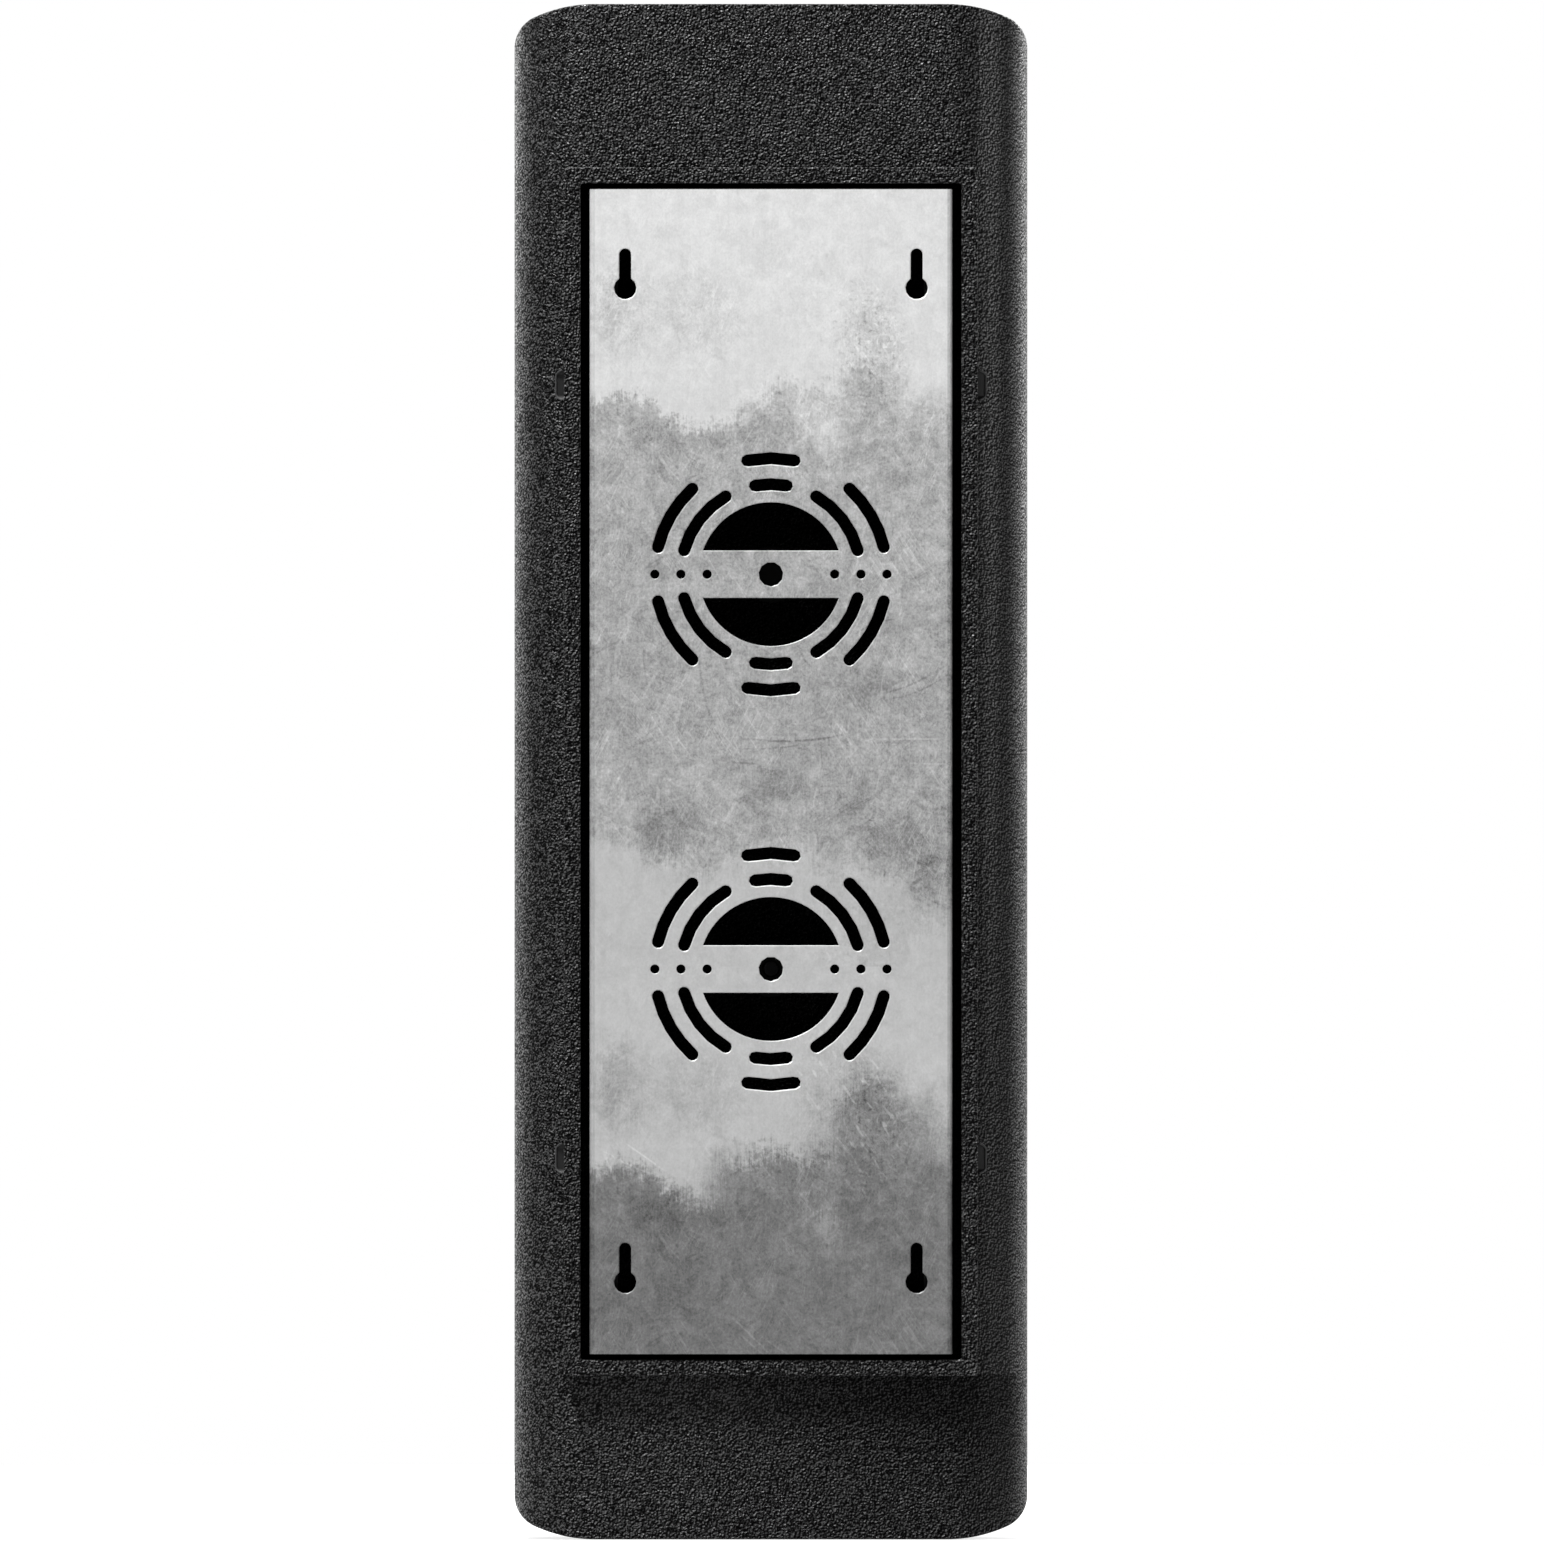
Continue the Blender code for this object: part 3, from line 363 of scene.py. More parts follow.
SHADES = [
    (364.65, 246.4, 16.5, 16.5, -0.15, 0.5), (400.4, 239.8, 18.7, 9.9, -0.12, 0.6),
    (352, 233.75, 22, 6.6, -0.05, 0.5), (508.75, 299.75, 14.3, 24.2, 0.11, 0.9),
    (497.75, 335.5, 18.7, 11, 0.05), (473, 277.75, 11, 14.3, 0.05),
    (415.25, 357.5, 33, 22, 0.05, 1.2), (477.4, 378.4, 24.2, 14.3, -0.14, 0.9),
    (352, 308, 14.3, 49.5, -0.05), (365.75, 455.4, 18.7, 17.6, -0.34, 0.5, 0.3),
    (420.75, 431.2, 25.3, 13.2, -0.17, 0.9), (468.6, 440, 11, 18.7, -0.14, 0.5),
    (497.75, 459.25, 28.6, 22, -0.18, 0.8), (514.25, 484, 14.3, 24.2, -0.20, 0.6),
    (396, 440, 14.3, 13.2, 0.09, 0.8), (379.5, 420.75, 22, 11, 0.05),
    (335.5, 434.5, 14.3, 22, 0.06, 0.7), (385, 473, 33, 8.8, 0.07),
    (335.5, 401.5, 14.3, 22, -0.05), (484, 409.75, 38.5, 5.5, 0.06, 0.6),
    (448.25, 258.5, 13.2, 12.1, 0.08), (456.5, 242, 9.9, 11, 0.06),
    (484, 511.5, 24.2, 18.7, -0.10, 1.0, 0.3),
]
LOWER_SHADES = [
    (477.4, 617.1, 19.8, 33, -0.16, 0.6, 0.2), (363, 666.6, 22, 15.4, -0.13, 1.0, 0.3),
    (375.1, 700.7, 24.2, 16.5, -0.09, 1.0, 0.3), (470.8, 663.3, 29.7, 16.5, -0.10, 1.0, 0.3),
    (336.6, 709.5, 13.2, 33, -0.05, 1.0, 0.3), (409.75, 734.8, 16.5, 12.1, 0.12, 1.0, 0.2),
    (510.4, 720.5, 18.7, 18.7, 0.07, 1.0, 0.3), (451, 666.6, 16.5, 14.3, 0.09, 1.0, 0.3),
    (352, 737, 27.5, 13.2, 0.05, 1.0, 0.3), (385, 654.5, 33, 16.5, 0.0, 1.0, 0.3),
    (440, 698.5, 38.5, 24.2, 0.03, 1.2, 0.3),
]
SPECKLED = [
    (479.6, 192.5, 24.2, 44, 1.0, 0.8, 0.2), (451, 165, 33, 33, 0.35, 1.0, 0.2),
    (434.5, 222.75, 27.5, 16.5, 0.6), (467.5, 511.5, 38.5, 33, 0.5),
]

# Scratches: across and down at one end, the same at the other, bow, width, amount
SCRATCHES = [
    (404.25, 405.35, 467.5, 403.15, 3.3, 0.715, -0.20),
    (401.5, 411.4, 448.25, 408.1, 1.65, 0.55, -0.14),
    (400.4, 419.1, 419.1, 420.2, 0, 0.66, -0.13),
    (484, 381.7, 521.4, 364.65, 2.2, 0.715, -0.17),
    (486.2, 385, 522.5, 369.6, 2.75, 0.55, -0.12),
    (465.3, 352, 495, 339.9, -2.2, 0.55, -0.12),
    (384.45, 360.25, 393.8, 401.5, 2.2, 0.825, -0.15),
    (353.65, 353.1, 357.5, 382.25, 1.1, 0.55, -0.10),
    (477.4, 406.45, 518.1, 406.45, 0, 0.495, 0.16),
    (479.6, 409.2, 503.25, 409.75, 0, 0.44, 0.12),
    (497.75, 419.65, 520.3, 420.2, 0, 0.495, 0.12),
    (499.4, 400.4, 499.95, 416.35, 0, 0.495, 0.12),
    (451, 405.9, 452.1, 423.5, 0, 0.605, -0.13),
    (371.8, 379.5, 388.3, 391.6, 0, 0.55, 0.10),
    (440, 357.5, 446.6, 367.4, 1.1, 0.66, -0.12),
    (341, 231, 338.8, 250.25, 0, 0.715, 0.12), (358.6, 236.5, 358.6, 259.6, 0, 0.55, 0.08),
    (379.5, 250.25, 387.2, 231, 0, 0.88, 0.11), (371.8, 265.1, 381.7, 248.6, 0, 0.77, 0.08),
]
LOWER_SCRATCHES = [
    (400.4, 721.6, 426.25, 746.9, 0, 0.605, 0.16), (404.8, 731.5, 423.5, 748, 0, 0.55, 0.14),
    (409.75, 724.9, 434.5, 744.7, 1.65, 0.495, 0.10), (330, 631.4, 363, 646.8, 1.1, 0.55, 0.10),
    (342.1, 627, 367.4, 644.6, 0, 0.495, 0.10), (367.4, 691.9, 385, 654.5, 0, 0.715, 0.09),
    (357.5, 698.5, 369.6, 682, 0, 0.55, 0.08), (331.65, 632.5, 339.9, 652.3, 0, 0.77, 0.10),
    (352, 745.8, 347.6, 731.5, 0, 0.88, 0.08), (369.6, 727.1, 379.5, 744.7, 0, 0.77, 0.09),
    (440, 673.75, 452.1, 663.3, 0, 1.21, 0.12), (511.5, 745.8, 523.6, 731.5, 0, 0.55, 0.09),
    (336.6, 679.8, 328.9, 709.5, 0, 0.495, 0.07), (429, 687.5, 456.5, 675.4, 0, 0.66, 0.06),
]


def blob_field(graph, across, down, thin, rag, mid_x, mid_y, half_x, half_y, amount, ragged, hard):
    """An oval patch with a ragged edge."""
    u = ((across - mid_x) + (thin - 0.5) * (16.5 / STEP) * ragged) / half_x
    v = ((down - mid_y) + rag * ragged) / half_y
    distance = graph.math("SQRT", u * u + v * v)
    return graph.span(distance, 1.25, hard, 0.0, amount, smooth=True)


def scratch_field(graph, across, down, gate, mid_x, mid_y, dir_x, dir_y, half, bow, width, amount):
    """A bowed line, fading at its ends and broken up by the gate noise."""
    from_x = across - mid_x
    from_y = down - mid_y
    along = (from_x * dir_x + from_y * dir_y) / half
    off = from_y * dir_x - from_x * dir_y
    off = off - (1.0 - along * along) * bow
    core = graph.span(abs(off), width * 1.25, width * 0.4)
    ends = graph.span(abs(along), 1.0, 0.6)
    return core * ends * (graph.span(gate, 0.40, 0.48) * (amount * 2.0))


def zinc_material():
    """Galvanised sheet: bright and dull areas with ragged edges, streaks and scratches."""
    mat = Material("galvanised_sheet", metal=0.25, rough=0.45)
    x, y, z = mat.xyz()
    across = DATUM_X / STEP - x * (1.0 / (STEP * MM))
    down = DATUM_Z / STEP - z * (1.0 / (STEP * MM))
    below = mat.math("GREATER_THAN", down, REPEAT_BELOW / STEP)
    wrapped = down - below * (REPEAT / STEP)
    # every noise repeats with the coating, so it is read from the wrapped height
    combine = mat.node("ShaderNodeCombineXYZ")
    mat.put(across * (STEP * MM), combine.inputs[0])
    mat.put(wrapped * (STEP * MM), combine.inputs[2])
    tile = mat.out(combine)

    def around(noise, amount):
        return (noise - 0.5) * amount

    def streaks(scale_x, scale_z, detail=2.0, rough=0.55):
        at = mat.mapped(tile, scale=(scale_x, 1.0, scale_z))
        return mat.noise(1.0, detail, rough, at)

    def shifted(scale, detail, rough, loc, at=tile):
        return mat.noise(scale, detail, rough, mat.mapped(at, loc=loc))

    big = mat.noise(16.0, 3.0, 0.6, tile)
    mid = mat.noise(62.0, 5.0, 0.66, tile)
    thin = streaks(900.0, 60.0, 3.0, 0.62)
    bits = shifted(330.0, 3.0, 0.65, (0.47, 0, 0.13))
    # how far edges stray
    ragged_edge = (around(mid, 46.75 / STEP) + around(bits, 33 / STEP)) + (
        around(thin, 25.3 / STEP) + around(big, 22 / STEP))

    def by_width(stops):
        return mat.ramp(mat.span(across, COAT_START / STEP, COAT_END / STEP), stops)

    def by_height(stops):
        return mat.ramp(mat.span(down, COAT_TOP / STEP, COAT_BOTTOM / STEP), stops)

    # dull below the lower edge of the bright area ...
    width = COAT_END - COAT_START
    edge = by_width([((px - COAT_START) / width, (py - EDGE_BASE) / EDGE_RANGE)
                     for px, py in BRIGHT_EDGE])
    edge = edge * (EDGE_RANGE / STEP) + EDGE_BASE / STEP
    depth_below = wrapped + below * (6.05 / STEP) + ragged_edge * 0.75 - edge
    soft = by_width(EDGE_SOFTNESS)
    soft = soft + below * mat.span(across, 374 / STEP, 473 / STEP, 0.22, 0.95)
    low = depth_below / (soft * (24.2 / STEP))
    dull = mat.span(low, -0.5, 0.7, smooth=True)
    # ... as far as the soft edge where the next one begins
    next_edge = by_width(NEXT_EDGE) * (71.5 / STEP) + 434.5 / STEP
    past = wrapped + ragged_edge * 1.1 - next_edge
    dull = dull * mat.span(past, -14.3 / STEP, 13.2 / STEP, 1.0, 0.0, smooth=True)

    blob_tree = node_group("ragged_blob", [
        "X", "S", "thin", "rag", "cx", "cy", "rx", "ry", "amp", "ragged", "hard"], blob_field)

    def blobs(height, rows):
        made = []
        for row in rows:
            lengths = [length / STEP for length in row[:4]]
            amount, ragged, hard = (*row[4:], *(1.0, 0.45)[len(row) - 5:])
            made.append(mat.use(
                blob_tree, across, height, thin, ragged_edge, *lengths, amount, ragged, hard))
        return made

    veil = reduce(add, blobs(wrapped, VEIL_UPPER) + blobs(down, VEIL_LOWER)
                  + blobs(wrapped, VEIL_CORNER) + blobs(down, VEIL_SIDE))
    dull = mat.math("ADD", dull, veil, clamp=True)
    shade = reduce(add, blobs(wrapped, SHADES))
    lower_shade = reduce(add, blobs(down, LOWER_SHADES))
    bright_tone = by_height(BRIGHT_TONES)
    dull_tone = by_height(DULL_TONES)

    # texture: quiet on the bright coating, busy on the dull one
    grit = streaks(820.0, 640.0, rough=0.6)
    cloudy = mat.noise(150.0, 6.0, 0.74, tile)
    patchy = shifted(44.0, 5.0, 0.62, (0.3, 0, 0.7))
    upright = streaks(1400.0, 80.0)
    upright_long = streaks(420.0, 22.0)
    sideways = streaks(60.0, 900.0)
    flakes = mat.span(shifted(300.0, 3.0, 0.62, (0.11, 0, 0.4)), 0.54, 0.66)
    pepper = mat.span(shifted(300.0, 3.0, 0.62, (0.71, 0, 0.2)), 0.55, 0.66)
    bent = mat.vec("ADD", tile, mat.wander(mat.noise(40.0, 2.0, 0.6, tile, colour=True), 0.022))
    patch = shifted(58.0, 5.0, 0.72, (0.9, 0, 0.2), bent)
    patch = mat.span(patch, 0.44, 0.58, -0.5, 0.5, smooth=True)
    chips = shifted(175.0, 4.0, 0.7, (0.2, 0, 0.9), bent)
    chips = mat.span(chips, 0.42, 0.60, -0.5, 0.5, smooth=True)
    crease = shifted(120.0, 4.0, 0.7, (0.6, 0, 0.6), bent)
    crease = mat.span(abs(crease - 0.5), 0.0, 0.022, 1.0, 0.0)
    busy = (around(cloudy, 0.70) + patch * 0.20 + chips * 0.17 + crease * 0.15
            + around(upright, 0.25) + around(upright_long, 0.22) + around(sideways, 0.10)
            + around(grit, 1.0) + flakes * 0.14 + pepper * -0.12)
    quiet = (around(cloudy, 0.17) + around(patchy, 0.16) + patch * 0.025 + chips * 0.015
             + around(upright_long, 0.07) + around(grit, 0.12))

    # light and dark specks, and slanting flecks
    spot_zone = mat.span(reduce(add, blobs(wrapped, SPECKLED)), 0.0, 1.0)
    slanted = mat.mapped(mat.mapped(tile, turn=-34), scale=(330.0, 1.0, 120.0))
    fleck = mat.span(mat.noise(1.0, 1.0, 0.4, slanted), 0.61, 0.68)
    fleck = fleck * mat.span(below, 0.0, 1.0, 0.12, 0.55)
    speck = spot_zone * (flakes * 0.14 + fleck - pepper * 0.26)

    scratch_tree = node_group("long_scratch", [
        "X", "S", "gate", "cx", "cy", "ux", "uy", "ln", "bow", "width", "amp"], scratch_field)

    def scratches(height, rows):
        made = []
        for x0, y0, x1, y1, bow, width, amount in rows:
            half_x, half_y = (x1 - x0) / 2, (y1 - y0) / 2
            half = math.hypot(half_x, half_y)
            made.append(mat.use(
                scratch_tree, across, height, cloudy,
                (x0 + x1) / 2 / STEP, (y0 + y1) / 2 / STEP, half_x / half, half_y / half,
                half / STEP, bow / STEP, width / STEP, amount))
        return reduce(add, made)

    lines = scratches(wrapped, SCRATCHES)
    lower_lines = scratches(down, LOWER_SCRATCHES)

    def hairlines(turn, scale_x, scale_z, width, seed):
        at = mat.mapped(mat.mapped(tile, turn=turn), scale=(scale_x, 1.0, scale_z),
                        loc=(seed, 0.3 * seed, 0))
        line = mat.span(abs(mat.noise(1.0, 1.0, 0.4, at) - 0.5), 0.0, width, 1.0, 0.0)
        gate = mat.span(shifted(34.0, 2.0, 0.5, (seed * 3.1, 0, seed)), 0.50, 0.60)
        return mat.math("MULTIPLY", line, gate, clamp=True)

    hair = (hairlines(28, 260.0, 12.0, 0.022, seed=3.0)
            + hairlines(-34, 300.0, 14.0, 0.022, seed=7.7)
            + hairlines(12, 330.0, 14.0, 0.020, seed=11.3))
    dark_hair = (hairlines(58, 240.0, 11.0, 0.016, seed=19.1)
                 + hairlines(-60, 280.0, 12.0, 0.016, seed=23.9))
    worn = dull * 0.85 + 0.15
    tone = mat.mix(dull, bright_tone, dull_tone)
    gain = (1.0 + busy * worn + quiet * (1.0 - dull) + shade + lower_shade + speck
            + lines + lower_lines + hair * worn * 0.30 + dark_hair * worn * -0.18)
    # painted shade: the formed flanges of the sheet carry a darker band, where they turn away from
    # the light
    gain = gain - mat.span(abs(x), 0.0966, 0.0970, 0.0, 0.22)
    # painted shade: the sheet darkens to nearly black down its flanks into the recess
    gain = gain * mat.span(y, -0.020, -0.006, 0.06, 1.0)
    tone = mat.vec("SCALE", tone, gain)
    mat.set(colour=mat.vec("MULTIPLY", tone, (0.997, 1.0, 0.999)), rough=cloudy * 0.16 + 0.36)
    relief = around(cloudy, 0.7) + around(upright, 0.4) + around(grit, 0.5) + hair * -0.5
    mat.bump(relief, 0.3, 0.00012)
    return mat.data


def steel_material(name, tone, rough):
    """Turned metal with fine tool marks."""
    mat = Material(name, metal=1.0, rough=rough)
    marks = mat.noise(1.0, 3.0, 0.6, mat.mapped(mat.coord, scale=(900.0, 160.0, 900.0)))
    wear = mat.noise(220.0, 3.0, 0.6)
    mat.set(colour=mat.mix(wear, scaled(tone, 0.86), tone),
            rough=mat.span(marks, 0.3, 0.7, rough - 0.06, rough + 0.1))
    mat.bump(marks, 0.25, 0.00005)
    return mat.data


def rubber_material(name, tone, spec=0.35):
    mat = Material(name, rough=0.78, spec=spec)
    fine = mat.noise(900.0, 3.0, 0.6)
    mat.set(colour=mat.mix(mat.noise(60.0, 3.0), scaled(tone, 0.8), scaled(tone, 1.35)),
            rough=mat.span(fine, 0.3, 0.7, 0.7, 0.88))
    mat.bump(fine, 0.35, 0.00008)
    return mat.data


def satin_material(name, tone, rough=0.42, cell=0.0011, depth=0.00006, spec=0.45):
    """Fine spark-eroded moulding, for inner mouldings and cases."""
    mat = Material(name, rough=rough, spec=spec)
    fine = mat.noise(1.0 / cell, 3.0, 0.62)
    cloud = mat.noise(9.0, 3.0, 0.55)
    mat.set(colour=mat.mix(cloud, scaled(tone, 0.88), scaled(tone, 1.12)),
            rough=mat.span(fine, 0.3, 0.7, rough - 0.06, rough + 0.08))
    mat.bump(fine, 0.6, depth)
    return mat.data


def lens_material(name, tint):
    """Clear glossy cover with a faint flow pattern and a film of dust."""
    mat = Material(name, rough=0.04, ior=1.5, trans=1.0, colour=tint)
    flow = mat.noise(14.0, 2.0, 0.5)
    dust = mat.noise(160.0, 4.0, 0.7)
    mat.set(rough=mat.span(dust, 0.45, 0.75, 0.03, 0.16))
    mat.bump(flow, 0.1, 0.0008)
    return mat.data


def diffuser_material(name, dark, lit, strength):
    """Translucent tinted plate with the LED lattice showing through it."""
    pitch = 0.0062
    mat = Material(name, rough=0.4)
    x, y, z = mat.xyz()
    cell_x = mat.math("FRACT", (x + 1.0) * (1.0 / pitch)) - 0.5
    cell_z = mat.math("FRACT", (z + 1.0) * (1.0 / pitch)) - 0.5
    distance = mat.math("SQRT", cell_x * cell_x + cell_z * cell_z)
    dot = mat.span(distance, 0.16, 0.5, 1.0, 0.0, smooth=True)
    mat.set(
        colour=mat.mix(dot, scaled(dark, 0.7), dark),
        emit=mat.mix(dot, lit, tuple(min(1.0, part + 0.06) for part in lit)),
        emit_strength=mat.span(dot, 0.0, 1.0, 0.45, 1.0) * strength,
    )
    mat.bump(dot, 0.5, 0.0004)
    return mat.data


def board_material(name):
    """Green circuit board with wavering traces and solder pads."""
    mat = Material(name, rough=0.35, spec=0.5)
    x, y, z = mat.xyz()
    trace = abs(mat.math("FRACT", x * 260.0 + mat.noise(30.0, 1.0) * 3.0) - 0.5)
    line = mat.span(trace, 0.40, 0.44)
    pads = mat.span(mat.voronoi(240.0), 0.14, 0.18, 1.0, 0.0)
    colour = mat.mix(line, (0.012, 0.10, 0.045), (0.02, 0.17, 0.075))
    colour = mat.mix(pads, colour, (0.55, 0.5, 0.36))
    mat.set(colour=colour, rough=mat.span(mat.noise(90.0, 2.0), 0.3, 0.7, 0.28, 0.45))
    mat.bump(line, 0.4, 0.00006)
    return mat.data


def floor_material():
    """Pale floor that glows only to the camera."""
    mat = Material("pale_floor", rough=0.7)
    seen = mat.out(mat.node("ShaderNodeLightPath"), "Is Camera Ray")
    mat.set(colour=mat.mix(mat.noise(3.0, 3.0), (0.40, 0.40, 0.40), (0.44, 0.44, 0.44)),
            emit=(1.0, 1.0, 1.0), emit_strength=seen * 0.78)
    return mat.data


GRAIN = grain_material("grained_black_polycarbonate", cell=0.0014, depth=0.0008,
                       tone=(0.0092, 0.0092, 0.0095), rough=0.38)
FINE = grain_material("fine_grain_black", cell=0.0011, depth=0.00022,
                      tone=(0.019, 0.019, 0.0195), rough=0.42)
ZINC = zinc_material()
STEEL = steel_material("turned_stainless", tone=(0.66, 0.65, 0.63), rough=0.24)
RUBBER = rubber_material("epdm_black", tone=(0.018, 0.018, 0.019))
# painted shade: a darker copy of the rubber for the grommet and plug, standing for the shade they
# sit in behind the plate
RUBBER_PAINTED_SHADE = satin_material("deep_black_rubber", tone=(0.004, 0.004, 0.004), rough=0.8, spec=0.05)
# painted highlight: the slot lips are paler than the housing, standing for the bright line that
# light draws along the slot edges
LIP_PAINTED_HIGHLIGHT = satin_material("worn_polycarbonate_edge", tone=(0.045, 0.045, 0.046), rough=0.34,
                     cell=0.0006, depth=0.00002)
SLOT = satin_material("shaded_slot_face", tone=(0.0095, 0.0095, 0.0098), rough=0.45,
                      cell=0.0006, depth=0.00002, spec=0.3)
BLACK = satin_material("black_inner_moulding", tone=(0.022, 0.022, 0.024), rough=0.5)
GREY = satin_material("grey_inner_moulding", tone=(0.36, 0.38, 0.39), rough=0.46)
CLEAR = lens_material("clear_lens", tint=(0.93, 0.95, 0.96))
BOARD = board_material("board_green")
# painted shade: the sheath is darker and duller than the real one, for the shade it lies in behind
# the lower hole
CABLE_PAINTED_SHADE = rubber_material("cable_sheath_black", tone=(0.006, 0.006, 0.0065), spec=0.1)
# material and slot of each field's diffuser
DIFFUSERS = {
    "red": (diffuser_material("red_field", dark=(0.42, 0.02, 0.015),
                              lit=(1.0, 0.035, 0.012), strength=5.0), "red_diffuser"),
    "count": (diffuser_material("amber_field", dark=(0.10, 0.045, 0.01),
                                lit=(1.0, 0.33, 0.02), strength=0.0), "amber_diffuser"),
    "green": (diffuser_material("green_field", dark=(0.012, 0.14, 0.085),
                                lit=(0.02, 1.0, 0.42), strength=0.0), "green_diffuser"),
}
DIGITS = diffuser_material("amber_digits", dark=(0.6, 0.25, 0.02), lit=(1.0, 0.32, 0.02),
                           strength=5.5)


# ---------------------------------------------------------------- objects
def smooth(mesh, sharp=30.0):
    mesh.shade_smooth()
    mesh.set_sharp_from_angle(angle=math.radians(sharp))


def solid(name, shape, mat=None, sharp=30.0):
    """Turn a bmesh in mm into an object in metres."""
    bmesh.ops.remove_doubles(shape, verts=shape.verts, dist=1e-4)
    bmesh.ops.recalc_face_normals(shape, faces=shape.faces)
    for vert in shape.verts:
        vert.co *= MM
    mesh = bpy.data.meshes.new(name)
    shape.to_mesh(mesh)
    shape.free()
    if mat:
        mesh.materials.append(mat)
    smooth(mesh, sharp)
    obj = bpy.data.objects.new(name, mesh)
    bpy.context.scene.collection.objects.link(obj)
    return obj


def piece(name, mat, build, *args, sharp=30.0, **named):
    shape = bmesh.new()
    build(shape, *args, **named)
    return solid(name, shape, mat, sharp)


def tool(build, *args, **named):
    return piece("tool", None, build, *args, **named)


def cut(obj, other, operation="DIFFERENCE"):
    """Apply a boolean with another object, which is used up."""
    boolean = obj.modifiers.new("boolean", "BOOLEAN")
    boolean.operation = operation
    boolean.solver = "EXACT"
    boolean.object = other
    boolean.material_mode = "TRANSFER"
    bpy.context.view_layer.update()
    graph = bpy.context.evaluated_depsgraph_get()
    mesh = bpy.data.meshes.new_from_object(obj.evaluated_get(graph))
    obj.modifiers.clear()
    shape = bmesh.new()
    shape.from_mesh(mesh)
    bmesh.ops.remove_doubles(shape, verts=shape.verts, dist=2e-6)
    bmesh.ops.dissolve_degenerate(shape, edges=shape.edges, dist=1e-6)
    shape.to_mesh(mesh)
    shape.free()
    old = obj.data
    obj.data = mesh
    bpy.data.meshes.remove(old)
    bpy.data.objects.remove(other, do_unlink=True)
    mesh.name = obj.name
    smooth(mesh)


def bevel(obj, width, limit):
    edges = obj.modifiers.new("edges", "BEVEL")
    edges.width = width * MM
    edges.segments = 2
    edges.limit_method = "ANGLE"
    edges.angle_limit = math.radians(limit)
    return edges


def dress(obj, body, slot, *stands_for, weighted=True):
    """Weight the normals and tie the piece to its body."""
    if weighted:
        normals = obj.modifiers.new("normals", "WEIGHTED_NORMAL")
        normals.keep_sharp = True
        normals.weight = 60
    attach(obj, body)
    if stands_for:
        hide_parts(*stands_for)


def on_door(obj, field, slot, *parts, weighted=True):
    """Dress a piece that rides on a field's door and stands for parts of that field."""
    stands_for = [f"{field}_{part}" for part in parts]
    dress(obj, f"{field}_door", slot, *stands_for, weighted=weighted)


# ---------------------------------------------------------------- solids, in mm
def place(u, v, depth, plane):
    return {"XZ": (u, depth, v), "XY": (u, v, depth), "YZ": (depth, u, v)}[plane]


def prism(shape, loops, start, end, plane="XZ"):
    """Straight solid of a flat outline; further loops are holes in it."""
    flat = [point for loop in loops for point in loop]
    low = [shape.verts.new(place(u, v, start, plane)) for u, v in flat]
    high = [shape.verts.new(place(u, v, end, plane)) for u, v in flat]
    if len(loops) == 1:
        shape.faces.new(low)
        shape.faces.new(list(reversed(high)))
    else:
        outlines = [[Vector((u, v, 0)) for u, v in loop] for loop in loops]
        for a, b, c in tessellate_polygon(outlines):
            shape.faces.new((low[a], low[b], low[c]))
            shape.faces.new((high[c], high[b], high[a]))
    first = 0
    for loop in loops:
        count = len(loop)
        for i in range(count):
            a, b = first + i, first + (i + 1) % count
            shape.faces.new((low[a], low[b], high[b], high[a]))
        first += count


def lathe(shape, profile, segs, centre, plane="XZ", turn=0.0):
    """Turn a closed profile of (radius, height) about the normal of the plane."""
    rings = []
    for radius, height in profile:
        ring = []
        for k in range(segs if radius > 1e-9 else 1):
            angle = 2 * math.pi * (k + turn) / segs
            u, v = radius * math.cos(angle), radius * math.sin(angle)
            point = place(u, v, height, plane)
            ring.append(shape.verts.new([c + p for c, p in zip(centre, point)]))
        rings.append(ring)
    for i, a in enumerate(rings):
        b = rings[(i + 1) % len(rings)]
        if len(a) == 1 and len(b) == 1:
            continue
        for k in range(segs):
            n = (k + 1) % segs
            if len(a) == 1:
                shape.faces.new((a[0], b[k], b[n]))
            elif len(b) == 1:
                shape.faces.new((a[k], b[0], a[n]))
            else:
                shape.faces.new((a[k], b[k], b[n], a[n]))


def drum(shape, radius, start, end, segs, x, z):
    """A plain cylinder along y."""
    lathe(shape, [(0, start), (radius, start), (radius, end), (0, end)], segs, (x, 0, z))


def loft(shape, rings, ends="capped"):
    """Join rings of points; the ends are capped, open, or joined to each other."""
    made = [[shape.verts.new(point) for point in ring] for ring in rings]
    count = len(made[0])
    following = made[1:] + (made[:1] if ends == "joined" else [])
    for a, b in zip(made, following):
        for i in range(count):
            j = (i + 1) % count
            shape.faces.new((a[i], a[j], b[j], b[i]))
    if ends == "capped":
        shape.faces.new(made[0])
        shape.faces.new(list(reversed(made[-1])))
    return made


